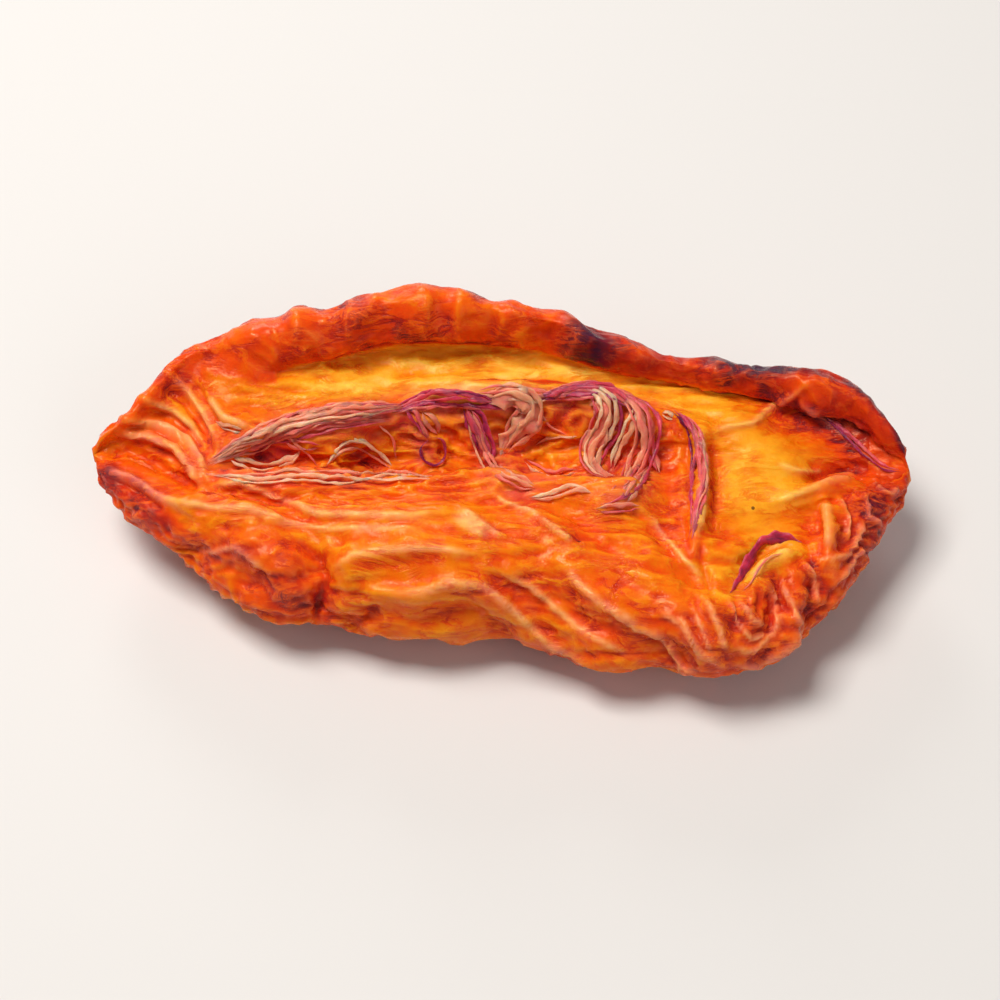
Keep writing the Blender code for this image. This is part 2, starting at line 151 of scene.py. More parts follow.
# Where an oval mark starts to fade and where it ends, in half sizes, and how a stroke tapers: its
# strength at its ends, and the share of its length over which it gains the rest.
PATCH_FADE = (0.45, 1.35)
STROKE_END, STROKE_TAPER = 0.25, 0.18
# How sharp a net of ridges is, how far its lines wander, and how broadly.
RIDGE_SHARPNESS, RIDGE_WANDER, WANDER_SCALE = 3.2, 0.6, 0.55
# How far apart in the noise two seeds lie.
SEED_STEP = (7.13, 3.71, 5.37)


def across(point_array):
    """The (x, v) of points in millimetres."""
    up = math.sin(VIEW_TILT) * point_array[:, 1] + math.cos(VIEW_TILT) * point_array[:, 2]
    return np.stack((point_array[:, 0], up - SEEN_SHIFT), axis=1)


def smooth(low, high, value):
    """0 below low, 1 above high, and an S curve between them."""
    share = np.clip((value - low) / (high - low), 0.0, 1.0)
    return share * share * (3.0 - 2.0 * share)


def line_share(places, keys):
    """Distance of places from a line of points, and 0 to 1 for how far along it they lie."""
    keys = np.array(keys, float)
    runs = keys[1:] - keys[:-1]
    lengths = np.hypot(runs[:, 0], runs[:, 1])
    reached = np.concatenate(([0.0], np.cumsum(lengths)))
    nearest = np.full(len(places), np.inf)
    share_along = np.zeros(len(places))
    for start, run, length, passed in zip(keys, runs, lengths, reached):
        share = np.clip(((places - start) @ run) / length**2, 0.0, 1.0)
        distance = np.hypot(*(places - start - share[:, None] * run).T)
        nearer = distance < nearest
        nearest = np.where(nearer, distance, nearest)
        share_along = np.where(nearer, (passed + share * length) / reached[-1], share_along)
    return nearest, share_along


def stroke(places, keys, width):
    """1 on a line of points, falling to 0 over its width and towards its ends."""
    distance, share = line_share(places, keys)
    inward = smooth(0.0, STROKE_TAPER, np.minimum(share, 1.0 - share))
    taper = STROKE_END + (1.0 - STROKE_END) * inward
    return taper * np.exp(-((distance / width) ** 2))


def patch(places, x, v, half_x, half_v, turn=0.0):
    """1 inside an oval mark and 0 well outside it. The turn is in degrees."""
    cosine, sine = math.cos(math.radians(turn)), math.sin(math.radians(turn))
    dx, dv = places[:, 0] - x, places[:, 1] - v
    out_x, out_v = (dx * cosine + dv * sine) / half_x, (dv * cosine - dx * sine) / half_v
    return 1.0 - smooth(*PATCH_FADE, np.hypot(out_x, out_v))


def profile(keys, x):
    """Value of (x, value) keys at each x."""
    keys = np.array(keys, float)
    return np.interp(x, keys[:, 0], keys[:, 1])


# Without a seed of its own, the noise would follow the clock.
noise.seed_set(5)


def seed_offset(seed):
    """Where in the noise a seed's own part starts, so that no two clouds or nets are alike."""
    return Vector([seed * step for step in SEED_STEP])


def cloud(points, size, seed):
    """Smooth noise at points, from about -1 to 1, with features of this size."""
    offset = seed_offset(seed)
    return np.array([noise.noise(Vector(p) / size + offset) for p in points])


def ridges(points, size, seed):
    """A net of sharp raised lines from 1 to about -1, with a mesh of this size in X, Y and Z."""
    offset = seed_offset(seed)
    places = points / np.array(size)
    found = np.empty(len(places))
    for i, place in enumerate(places):
        at = Vector(place) + offset
        at = at + RIDGE_WANDER * noise.noise_vector(at * WANDER_SCALE)
        found[i] = 1.0 - RIDGE_SHARPNESS * abs(noise.noise(at))
    return found


def total_at(values, index, count):
    """The sum of the rows of values that share an index."""
    return np.stack([np.bincount(index, values[:, i], count) for i in range(3)], 1)


def refine(points, faces):
    """One round of Catmull-Clark: the finer points, and the quads between them."""
    sizes = np.array([len(face) for face in faces])
    corner = np.concatenate([np.asarray(face) for face in faces])
    face = np.repeat(np.arange(len(faces)), sizes)
    first = np.cumsum(sizes) - sizes
    turn = np.arange(len(corner)) - first[face]
    after = first[face] + (turn + 1) % sizes[face]
    before = first[face] + (turn - 1) % sizes[face]
    pairs = np.sort(np.stack((corner, corner[after]), 1), 1)
    edges, edge = np.unique(pairs, axis=0, return_inverse=True)
    edge = edge.ravel()
    middles = total_at(points[corner], face, len(faces)) / sizes[:, None]
    halves = 0.5 * (points[edges[:, 0]] + points[edges[:, 1]])
    shared = np.bincount(edge)[:, None]
    edge_points = 0.5 * halves + 0.5 * total_at(middles[face], edge, len(edges)) / shared
    count = len(points)
    meeting = np.bincount(corner, minlength=count)[:, None]
    around = total_at(middles[face], corner, count) / meeting
    beside = total_at(halves, edges[:, 0], count) + total_at(halves, edges[:, 1], count)
    kept = (around + 2.0 * beside / meeting + (meeting - 3.0) * points) / meeting
    quads = (corner, count + edge, count + len(edges) + face, count + edge[before])
    return np.concatenate((kept, edge_points, middles)), np.stack(quads, 1)


def settle(points, quads):
    """The points moved to where endless rounds of Catmull-Clark would take them."""
    count = len(points)
    near, far = np.zeros_like(points), np.zeros_like(points)
    for k in range(4):
        near += total_at(points[quads[:, (k + 1) % 4]], quads[:, k], count)
        far += total_at(points[quads[:, (k + 2) % 4]], quads[:, k], count)
    meeting = np.bincount(quads.ravel(), minlength=count)[:, None]
    return (meeting**2 * points + 4.0 * near + far) / (meeting * (meeting + 5.0))


def quad_copy(node):
    """A copy of the node's mesh as a closed net of quads, four times as fine each way."""
    mesh = bmesh.new()
    mesh.from_mesh(node.data)
    bmesh.ops.remove_doubles(mesh, verts=mesh.verts, dist=1e-6)
    bmesh.ops.join_triangles(
        mesh,
        faces=mesh.faces,
        angle_face_threshold=math.pi,
        angle_shape_threshold=math.pi,
        topology_influence=2.0,
    )
    mesh.verts.index_update()
    points = np.array([vert.co for vert in mesh.verts], float)
    faces = [[vert.index for vert in face.verts] for face in mesh.faces]
    mesh.free()
    for _ in range(2):
        points, faces = refine(points, faces)
    points = settle(points, faces)
    fine = bpy.data.meshes.new("nectarine_flesh")
    fine.from_pydata(points.tolist(), [], faces.tolist())
    return fine


def read_points(data):
    """A mesh's points in millimetres."""
    flat = np.empty(len(data.vertices) * 3)
    data.vertices.foreach_get("co", flat)
    return flat.reshape(-1, 3) / MM


def write_points(data, points):
    """Moves a mesh's points to these places in millimetres."""
    data.vertices.foreach_set("co", (points * MM).ravel().astype(np.float32))
    data.update()


def read_normals(data):
    """Which way is out at a mesh's points."""
    flat = np.empty(len(data.vertices) * 3, np.float32)
    data.vertices.foreach_get("normal", flat)
    return flat.reshape(-1, 3).astype(float)


def springs_of(data):
    """The mesh's edges, and the diagonals of its quads, as pairs of point numbers."""
    edges = np.empty(len(data.edges) * 2, np.int64)
    data.edges.foreach_get("vertices", edges)
    corners = np.array([tuple(face.vertices) for face in data.polygons])
    diagonals = np.concatenate((corners[:, [0, 2]], corners[:, [1, 3]]))
    return edges.reshape(-1, 2), diagonals


def spread(values, edges, degree, times):
    """Values averaged with their neighbours', so many times over."""
    for _ in range(times):
        total = np.bincount(edges[:, 0], values[edges[:, 1]], len(values))
        total += np.bincount(edges[:, 1], values[edges[:, 0]], len(values))
        values = 0.5 * values + 0.5 * total / degree
    return values


def neighbour_pull(values, edges, degree):
    """For each point, the mean of its neighbours less its own value, for an array of 3 columns."""
    a, b = edges.T
    step = np.take(values, b, axis=0) - np.take(values, a, axis=0)
    pull = total_at(step, a, len(values)) - total_at(step, b, len(values))
    return pull / degree[:, None]


def dry_out(points, normals, edges, diagonals, growth, direction, directed, hold):
    """Buckles a surface that is too large for its form, and returns the buckled points.

    growth is how much too large it is at each point, direction the way that it is, and
    directed runs from 0, the same every way, to 1, along the direction only.
    """
    count = len(points)
    degree = np.bincount(edges.ravel(), minlength=count)
    springs = np.concatenate((edges, diagonals))
    a, b = springs[:, 0].copy(), springs[:, 1].copy()
    meeting = np.bincount(springs.ravel(), minlength=count)
    light = np.minimum(1.0, USUAL_SPRINGS / meeting)[:, None]
    run = points[b] - points[a]
    length = np.linalg.norm(run, axis=1)
    aim = direction[a] + direction[b]
    aim /= np.maximum(np.linalg.norm(aim, axis=1), 1e-6)[:, None]
    aligned = np.einsum("ij,ij->i", run, aim) ** 2 / length**2
    share = 0.5 * (directed[a] + directed[b])
    too_large = 0.5 * (growth[a] + growth[b]) * (1.0 - share + share * aligned)
    start = np.random.default_rng(START_DRAW).normal(0.0, START_WAVES, count)
    start = spread(start, edges, degree, 2)
    moved = start[:, None] * normals
    speed = np.zeros_like(moved)
    for step in range(DRYING_STEPS):
        ripe = min(1.0, (step + HEAD_START) / (RIPE_AT * DRYING_STEPS))
        place = points + moved
        run = np.take(place, b, axis=0) - np.take(place, a, axis=0)
        now = np.sqrt(np.einsum("ij,ij->i", run, run))
        pull = (1.0 - length * (1.0 + ripe * too_large) / now)[:, None] * run
        bend = neighbour_pull(neighbour_pull(moved, edges, degree), edges, degree)
        rise = np.einsum("ij,ij->i", moved, normals)
        back = hold * np.where(rise > 0.0, 1.0, SINKING)
        force = -BENDING * bend - back[:, None] * moved
        force += total_at(pull, a, count) - total_at(pull, b, count)
        speed = KEPT_SPEED * speed + PULL_TAKEN * light * force
        moved += speed
    return points + moved


half_data = quad_copy(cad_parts["nectarine_half"])
points = read_points(half_data)
normals = read_normals(half_data)
edges, diagonals = springs_of(half_data)
degree = np.bincount(edges.ravel(), minlength=len(points)).astype(float)
seen = across(points)
x, v = seen.T

facing = normals[:, 2] * math.sin(VIEW_TILT) - normals[:, 1] * math.cos(VIEW_TILT)
in_view = smooth(0.0, 0.4, facing)

# Where the regions lie: the rolled rim above its lip line, the flank below its crest, the
# hollow between its two edges, the fan at the stem end and the frills at the blossom end.
LIP_LINE = [
    (-34.3, 8.6), (-28, 13.2), (-24.9, 15), (-20, 14.2), (-15.9, 14.6), (-10.8, 14.2), (-4.4, 16),
    (0, 15.9), (7, 15.2), (14, 13.4), (19, 12.6), (23.3, 11.3), (28.6, 9.2), (31.8, 5.9),
    (34.3, 5.7),
]
CREST_LINE = [
    (-34.3, 5.6), (-30.7, 4.2), (-26.5, 1.3), (-20, 1), (-14, -0.4), (-4, 0.2), (6, -1.6),
    (12, -3.2), (15, -4.4), (19, -4.4), (22, -1.8), (25, -1.2), (28, 2.2), (31, 4.2), (34.3, 5.2),
]
FLESH_HEIGHT = [
    (-34.3, 7.6), (-26, 8.8), (-16, 9.3), (0, 9.5), (14, 9), (24, 8.2), (34.3, 7.8),
]
# The fan's folds come together here: as a mark, and in the model's own frame.
GATHER = (-24.4, 5.5)
GATHER_POINT = (-24.4, 1.0, 9.0)
lip_v = profile(LIP_LINE, x)
crest_v = profile(CREST_LINE, x)
flesh_z = profile(FLESH_HEIGHT, x)
# Between these ends the roll stands clear of the flesh, from 1.7 mm above it.
over_flesh = np.where((x > -19.0) & (x < 31.0), points[:, 2] - flesh_z - 1.7, 1.0)
roll = in_view * smooth(-0.3, 0.4, np.minimum(v - lip_v + 1.0, over_flesh))
roll *= smooth(-1.6, -0.6, v - lip_v)
flank = in_view * smooth(-0.2, 1.4, crest_v - v)
hidden = 1.0 - in_view
cut_face = np.clip(in_view - roll - flank, 0.0, 1.0)
hollow = cut_face * patch(seen, -5.0, 7.6, 18.6, 4.3, 4.0)
fan = cut_face * patch(seen, -29.0, 9.0, 7.4, 7.6)
frills = np.maximum(
    patch(seen, 20.0, -6.4, 6.6, 4.6, 18.0), patch(seen, 28.6, 0.6, 3.4, 6.0, -24.0)
)
frills = in_view * frills
smooth_flesh = cut_face * patch(seen, 22.0, 5.4, 5.0, 6.0)

# The shrivelled relief that the folds of the form don't hold, in millimetres. Each net of ridges
# has its own seed, its last number.
fan_reach = np.hypot(x - GATHER[0], v - GATHER[1])
fan_turn = np.arctan2(v - GATHER[1], GATHER[0] - x)
fan_place = np.stack((7.0 * fan_turn, 0.16 * fan_reach, np.zeros_like(x)), axis=1)
quiet = 1.0 - 0.8 * smooth_flesh
relief = 0.13 * flank * ridges(points, (9.0, 2.4, 2.4), 1)
relief += 0.11 * flank * ridges(points, (5.0, 0.9, 0.9), 2)
relief += 0.14 * roll * ridges(points, (3.6, 7.0, 7.0), 3)
relief += 0.07 * roll * ridges(points, (1.6, 1.8, 1.8), 4)
relief += 0.07 * fan * smooth(0.5, 3.0, fan_reach) * ridges(fan_place, (1.0, 1.0, 1.0), 5)
relief += 0.12 * frills * ridges(points, (1.5, 1.5, 1.5), 6)
relief += 0.36 * hollow * ridges(points, (3.2, 1.1, 1.3), 7)
relief += (
    0.15 * quiet * cut_face * (1.0 - hollow) * (1.0 - fan) * ridges(points, (6.0, 1.3, 1.3), 8)
)
long_folds = np.maximum(cut_face * (1.0 - hollow) * (1.0 - fan), flank)
relief += 0.11 * (0.3 + 0.7 * quiet) * long_folds * ridges(points, (2.8, 0.8, 0.8), 11)
near_bed = smooth(12.0, 7.0, points[:, 2])
relief += hidden * (0.09 + 0.13 * near_bed) * ridges(points, (4.0, 2.6, 2.6), 9)
relief += hidden * (0.06 + 0.06 * near_bed) * ridges(points, (1.5, 1.1, 1.1), 10)
# Where the raised fine folds lie, for a painted highlight along their tops.
ridge_highlight = np.zeros(len(points))
for rise, width, keys in FINE_FOLDS:
    line = in_view * stroke(seen, keys, width)
    relief += rise * line
    ridge_highlight = np.maximum(ridge_highlight, line**2 * smooth(0.0, 0.3, rise))
above_bed = smooth(0.1, 0.8, points[:, 2])
points = points + (above_bed * relief)[:, None] * normals

# The drying: how much too large the skin is, which way, and how firmly the flesh holds it.
patchy = 0.45 + 1.1 * smooth(-0.35, 0.45, cloud(points, 3.2, 11))
growth = 0.04 * cut_face + 0.05 * flank + 0.04 * roll + (0.04 + 0.05 * near_bed) * hidden
growth = growth + 0.10 * hollow + 0.02 * fan + 0.06 * frills
growth *= patchy * quiet * above_bed
directed = 0.6 * np.clip(flank + roll + fan + cut_face - hollow - frills - hidden, 0.0, 1.0)
lengthwise = np.tile((1.0, 0.0, 0.0), (len(points), 1))
crosswise = np.cross(normals, lengthwise)
from_gather = points - np.array(GATHER_POINT)
radial = np.cross(normals, from_gather)
direction = crosswise * (1.0 - roll - fan)[:, None] + lengthwise * roll[:, None]
direction += fan[:, None] * radial / np.maximum(np.linalg.norm(radial, axis=1), 1e-6)[:, None]
sway = 0.9 * cloud(points, 4.5, 12)
sideways = np.cross(normals, direction)
direction = direction * np.cos(sway)[:, None] + sideways * np.sin(sway)[:, None]
hold = HOLD * (1.0 + 2.5 * frills + 2.0 * hollow + cut_face)
hold = hold * (1.0 + 0.7 * cloud(points, 5.0, 13))
points = dry_out(points, normals, edges, diagonals, growth, direction, directed, hold)

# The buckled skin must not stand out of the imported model's box or dip under its bed.
box_low, box_high = (np.array(corner) / MM for corner in cad_box)
middle = 0.5 * (box_low + box_high)
reach = np.minimum(1.0, (box_high - box_low) / (points.max(0) - points.min(0)))
points = (points - 0.5 * (points.max(0) + points.min(0))) * reach + middle
points[:, 2] = np.maximum(points[:, 2], 0.0)
write_points(half_data, points)
half_data.shade_smooth()

# Colour marks, one number to a point. tone runs from pale yellow flesh, 0, over orange and red to
# the dark purple of the skin's blush, 1.
normals = read_normals(half_data)
# crest and valley follow where the buckled skin bulges out and folds in: the crests get a painted
# highlight, paler and glossier, and the valleys painted shade, darker and redder.
curve = np.einsum("ij,ij->i", neighbour_pull(points, edges, degree), normals)
crest = smooth(0.006, 0.032, spread(-curve, edges, degree, 1))
valley_shade = smooth(0.004, 0.035, spread(curve, edges, degree, 2))
broad = spread(-curve, edges, degree, 14)
crest = np.clip(0.8 * crest + 0.25 * smooth(0.003, 0.014, broad), 0.0, 1.0)
valley_shade = np.clip(valley_shade + 0.6 * smooth(0.002, 0.012, -broad), 0.0, 1.0)

ROLL_TONE = [
    (-34, 0.45), (-28, 0.45), (-24, 0.48), (-19, 0.51), (-15, 0.55), (-8, 0.56), (-3, 0.5),
    (0, 0.45), (4, 0.5), (6, 0.78), (8, 0.92), (10, 0.66), (14, 0.6), (19, 0.64), (22, 0.68),
    (26, 0.56), (30, 0.53), (34, 0.6),
]
FLANK_TONE = [
    (-34, 0.52), (-26, 0.52), (-18, 0.5), (-12, 0.41), (0, 0.41), (8, 0.43), (14, 0.5), (24, 0.55),
    (34, 0.56),
]
FACE_TONE = [
    (-34, 0.46), (-26, 0.36), (-18, 0.37), (-8, 0.35), (6, 0.4), (13, 0.39), (18, 0.24), (24, 0.24),
    (29, 0.46), (34, 0.56),
]
FAR_TONE = [
    (-34, 0.42), (-27, 0.34), (-20, 0.28), (-15, 0.14), (-8, 0.08), (2, 0.1), (14, 0.16),
    (20, 0.24), (27, 0.5), (34, 0.72),
]
FAR_EDGE = [
    (-34, 9), (-24, 9.5), (-16, 11), (-4, 12), (8, 12.4), (14, 10.5), (20, 8.6), (34, 6.4),
]
RIM_TOP = [
    (-34, 8), (0, 22), (14, 16.2), (20, 14.8), (28.6, 14), (32.3, 10.4), (34.3, 6.8),
]
far_side = cut_face * smooth(-0.5, 1.5, v - profile(FAR_EDGE, x))
tone = profile(FACE_TONE, x) * (1.0 - far_side) + profile(FAR_TONE, x) * far_side
tone = tone * cut_face + profile(FLANK_TONE, x) * flank + profile(ROLL_TONE, x) * roll
back = smooth(-4.0, 9.0, points[:, 1])
skin_tone = 0.52 + 0.16 * back + 0.20 * cloud(points, 7.0, 21) + 0.08 * cloud(points, 2.2, 22)
tone += hidden * skin_tone
# How much each mark changes the tone, and its place, half sizes and turn. Most are the flesh's own
# colour, but some are painted shade: the dark pockets at (-19, 7.3) and (-11.9, 6.8) under the edge
# of the fibre bundle, the line at (-15, 4.6) along the hollow's near edge below the bundle, and the
# lines at (14.4, 5.6) and (17.4, 5.4) beside the strap of skin.
MARKS = [
    (0.16, -33, 5.3, 1.3, 1, -40), (0.18, -30, 3.6, 3.6, 1.6, -35),
    (0.14, -27.4, 1.4, 2.2, 0.8, -30), (0.1, -17, -3.6, 2.4, 2.4, 0),
    (0.14, -14.4, -5.4, 1.2, 2.2, 0), (0.1, -22, -1, 3, 1, 0), (0.3, -19, 7.3, 1.9, 0.8, 8),
    (0.3, -11.9, 6.8, 1, 0.6, 0), (0.16, -15, 4.6, 6.8, 0.45, 0), (-0.12, -14, 8.6, 2.6, 0.6, 8),
    (-0.16, -8.6, 7.4, 1.9, 1.2, 0), (-0.14, 4.6, 7.3, 2.6, 1.4, 0), (-0.1, -3.6, 7.6, 1, 1.2, 0),
    (0.14, 17.4, 5.4, 0.45, 4, 0), (0.12, 7.2, 0.6, 2.2, 1, -18), (0.24, 15.9, -0.4, 1, 1.4, 0),
    (0.08, 28.8, 6, 2.4, 0.7, 0), (0.16, 25, 10.6, 3.6, 1.3, -24), (-0.12, 21.5, 5.5, 3.4, 3.6, 0),
    (-0.14, -13, 12.8, 3.4, 0.9, 0), (-0.1, -2.6, 1.2, 1.6, 0.6, -20), (-0.1, 5, 14.4, 4, 0.8, -6),
    (0.12, -26.5, 13.6, 1.6, 1.1, 30), (0.1, 14.4, 5.6, 0.8, 4.6, 0),
    (0.12, 18.6, -0.6, 1.8, 1.4, 30), (0.1, 0, -4.6, 4.6, 0.8, -16), (-0.08, -8, -2.4, 4, 1, 6),
    (0.12, 30.6, 1, 1.6, 3, -10), (0.12, 29.4, 9.6, 3.4, 2, -50),
]
for change, *place in MARKS:
    tone += change * in_view * patch(seen, *place)
rim = roll * smooth(1.2, 0.0, profile(RIM_TOP, x) - v)
tone += (0.20 * smooth(10.0, 20.0, x) + 0.10 * smooth(20.0, 25.0, x)) * rim
tone += 0.09 * roll * cloud(points, 2.6, 26) + 0.02 * hollow
tone += 0.05 * cloud(points, 5.0, 23) + 0.05 * cloud(points, 1.6, 24)
# Painted shade in the valleys, painted highlight on the crests.
tone += 0.10 * valley_shade - 0.05 * crest

# pulp is where the flesh was torn from the stone and is pink. pale is a painted highlight along the
# tops of the raised fine folds, and also lightens a patch, a line and a spot of the cut face.
pulp = np.zeros(len(points))
PULP = [
    (1.5,
     [(-24.3, 6.8), (-15.7, 9.8), (-8.6, 10.7), (-3.9, 11.2), (5.5, 11.7), (10.2, 11.2),
      (12.6, 8.6)]),
    (0.9, [(-7.7, 10.9), (-6.8, 9), (-6.3, 6.2)]),
    (1.3, [(-2.1, 10.5), (-1.1, 8.1), (0.8, 4.8), (3.6, 4.2)]),
    (1, [(2.2, 11.4), (2.2, 9.5), (0.3, 7.2)]),
    (1.3, [(7.8, 12.3), (9.7, 10), (8.7, 7.2), (7.8, 5.4)]),
    (1.4, [(10.2, 11.9), (12, 9.1), (11.1, 4.8), (8.3, 2.9)]),
    (0.7, [(-24.4, 5.6), (-20, 5.2), (-15.9, 5.5), (-10, 5)]),
]
for width, keys in PULP:
    pulp = np.maximum(pulp, cut_face * stroke(seen, keys, width))
pulp = np.clip(0.6 * pulp * (0.7 + 0.8 * cloud(points, 1.4, 25)), 0.0, 1.0)
PALE_LINE = [(-8.0, 12.1), (-3.0, 12.7), (2.5, 12.7)]
pale = ridge_highlight * (1.0 - 0.5 * roll) * (1.0 - 0.45 * smooth(14.0, 18.0, x) * cut_face)
pale = np.maximum(pale, cut_face * patch(seen, -2.4, 1.3, 1.5, 0.45, -28))
pale = np.maximum(pale, 0.7 * cut_face * stroke(seen, PALE_LINE, 0.55))
pale = np.maximum(pale, 0.5 * cut_face * patch(seen, -26.2, 15.0, 1.2, 0.8, 40))


def keep_marks(data, marks):
    """Stores one number a point under each name, for the material."""
    for name, values in marks.items():
        layer = data.attributes.new(name, "FLOAT", "POINT")
        layer.data.foreach_set("value", values.astype(np.float32))


def set_down(name, data):
    """A new object of this data in the scene."""
    thing = bpy.data.objects.new(name, data)
    bpy.context.scene.collection.objects.link(thing)
    return thing


half_marks = {"tone": tone, "crest": crest, "valley_shade": valley_shade, "pulp": pulp, "pale": pale}
keep_marks(half_data, half_marks)
half = set_down("nectarine_flesh", half_data)
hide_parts("nectarine_half")
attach(half, "root")


class Nodes:
    """Adds nodes to a material or a node group, in columns from left to right."""

    def __init__(self, tree):
        self.tree = tree
        self.column = 0

    def add(self, kind, settings=None, **links):
        """A node with its settings, and its sockets set to a value or linked to an output.

        A socket goes by its name, with _ for a space, or by its number, as _0.
        """
        node = self.tree.nodes.new(kind)
        self.column += 1
        node.location = (180 * self.column, 0)
        for name, value in (settings or {}).items():
            setattr(node, name, value)
        for name, value in links.items():
            socket = node.inputs[int(name[1:]) if name[0] == "_" else name.replace("_", " ")]
            if isinstance(value, bpy.types.NodeSocket):
                self.tree.links.new(value, socket)
            else:
                socket.default_value = value
        return node

    def math(self, operation, a, b=0.0, clamp=False):
        """One operation on two numbers, kept between 0 and 1 if clamp is set."""
        settings = {"operation": operation, "use_clamp": clamp}
        return self.add("ShaderNodeMath", settings, _0=a, _1=b).outputs[0]

    def plus(self, base, value, share):
        """The base with this share of a value added."""
        return self.math("ADD", base, self.math("MULTIPLY", value, share))

    def mark(self, name):
        """The number that the mesh's points hold under this name."""
        return self.add("ShaderNodeAttribute", {"attribute_name": name}).outputs["Fac"]

    def ramp(self, value, stops):
        """A colour ramp through (place, colour) stops."""
        node = self.add("ShaderNodeValToRGB", Fac=value)
        elements = node.color_ramp.elements
        while len(elements) < len(stops):
            elements.new(1.0)
        for element, (place, colour) in zip(elements, stops):
            element.position = place
            element.color = (*colour, 1.0)
        return node.outputs["Color"]

    def mix(self, share, a, b):
        """Colour a with this share of colour b."""
        node = self.add("ShaderNodeMix", {"data_type": "RGBA"}, _0=share, _6=a, _7=b)
        return node.outputs[2]

    def noise(self, place, scale, detail, rough, warp=0.0):
        """Noise from 0 to 1."""
        shape = {"Scale": scale, "Detail": detail, "Roughness": rough, "Distortion": warp}
        return self.add("ShaderNodeTexNoise", Vector=place, **shape).outputs["Fac"]

    def ripple(self, *shape):
        """Noise about 0."""
        return self.math("SUBTRACT", self.noise(*shape), 0.5)


def group(name, inputs, outputs):
    """An empty node group with float or colour sockets, and its ends."""
    tree = bpy.data.node_groups.new(name, "ShaderNodeTree")
    for socket, kind in inputs:
        tree.interface.new_socket(socket, in_out="INPUT", socket_type=kind)
    for socket, kind in outputs:
        tree.interface.new_socket(socket, in_out="OUTPUT", socket_type=kind)
    return tree, tree.nodes.new("NodeGroupInput"), tree.nodes.new("NodeGroupOutput")


def dried_grain():
    """Tiny wrinkles and pits of dried flesh: their height, a patchy gloss, where the fine grooves
    are, which the flesh paints darker as painted shade, and a second set of thin lines, which it
    paints lighter as painted highlight.
    """
    names = ("Height", "Gloss", "Line", "RidgeHighlight")
    tree, _, ends = group("dried_grain", [], [(name, "NodeSocketFloat") for name in names])
    nodes = Nodes(tree)
    place = nodes.add("ShaderNodeTexCoord").outputs["Object"]
    stretched = nodes.add("ShaderNodeMapping", Vector=place, Scale=(0.30, 1.0, 1.0)).outputs[0]
    lines = nodes.noise(stretched, 560.0, 5.0, 0.70, 1.4)
    broken = nodes.noise(place, 380.0, 2.0, 0.5)
    broken = nodes.math("MULTIPLY", nodes.math("SUBTRACT", broken, 0.42), 5.0, True)
    drawn = []
    for level, narrow in ((0.5, 13.0), (0.60, 18.0)):
        away = nodes.math("ABSOLUTE", nodes.math("SUBTRACT", lines, level))
        away = nodes.math("MULTIPLY", away, narrow, True)
        drawn.append(nodes.math("SUBTRACT", 1.0, away, True))
    line, raised = drawn
    line = nodes.math("MULTIPLY", line, broken)
    pits = nodes.math("MULTIPLY", nodes.noise(place, 3200.0, 2.0, 0.6), 0.30)
    height = nodes.math("SUBTRACT", pits, nodes.math("MULTIPLY", line, 0.45))
    gloss = nodes.noise(place, 420.0, 3.0, 0.6)
    for name, output in zip(names, (height, gloss, line, raised)):
        tree.links.new(output, ends.inputs[name])
    return tree


FIBRE_COLOURS = [
    (0.00, (0.98, 0.52, 0.30)), (0.20, (0.98, 0.32, 0.17)), (0.42, (0.94, 0.16, 0.115)),
    (0.62, (0.78, 0.070, 0.10)), (0.80, (0.48, 0.028, 0.085)), (1.00, (0.10, 0.008, 0.055)),
]


def fibre_colour():
    """Colours of torn pulp, from peach over pink and mauve to dark purple as the tone rises."""
    tree, starts, ends = group(
        "fibre_colour", [("Tone", "NodeSocketFloat")], [("Color", "NodeSocketColor")]
    )
    nodes = Nodes(tree)
    place = nodes.add("ShaderNodeTexCoord").outputs["Object"]
    tone = nodes.plus(starts.outputs["Tone"], nodes.ripple(place, 900.0, 3.0, 0.6, 0.6), 0.45)
    tree.links.new(nodes.ramp(tone, FIBRE_COLOURS), ends.inputs["Color"])
    return tree


GRAIN = dried_grain()
FIBRE = fibre_colour()

# The flesh's colours by tone: as it lies, lighter and waxier where a painted highlight lies on the
# crests and the grain's raised lines, and paler where the pale marks lie: a painted highlight along
# the raised fine folds, and a few pale places of the cut face.
FLESH_COLOURS = [
    (0.00, (0.92, 0.55, 0.07)), (0.15, (0.90, 0.35, 0.012)), (0.33, (0.82, 0.170, 0.002)),
    (0.52, (0.78, 0.065, 0.003)), (0.68, (0.55, 0.024, 0.008)), (0.84, (0.20, 0.010, 0.018)),
    (1.00, (0.06, 0.012, 0.04)),
]
CREST_HIGHLIGHT_COLOURS = [
    (0.10, (0.97, 0.50, 0.03)), (0.40, (0.95, 0.31, 0.010)),
    (0.62, (0.90, 0.18, 0.022)), (1.00, (0.36, 0.06, 0.07)),
]
DRIED_AND_HIGHLIGHT_COLOURS = [
    (0.10, (0.98, 0.66, 0.26)), (0.45, (0.97, 0.44, 0.20)),
    (0.75, (0.82, 0.22, 0.19)), (1.00, (0.45, 0.11, 0.17)),
]
SPECK_COLOUR = (0.05, 0.015, 0.01, 1.0)


def new_material(name):
    """A new material, and its nodes."""
    material = bpy.data.materials.new(name)
    material.use_nodes = True
    return material, Nodes(material.node_tree)


def set_sockets(node, values):
    """Sets a node's sockets, by name, to plain values."""
    for name, value in values.items():
        node.inputs[name].default_value = value


def finish_surface(nodes, colour, rough, bump, values):
    """Joins what changes over the surface to the material's shader, and sets the rest."""
    shader = nodes.tree.nodes["Principled BSDF"]
    outputs = {"Base Color": colour, "Roughness": rough, "Normal": bump.outputs["Normal"]}
    for name, output in outputs.items():
        nodes.tree.links.new(output, shader.inputs[name])
    set_sockets(shader, values)


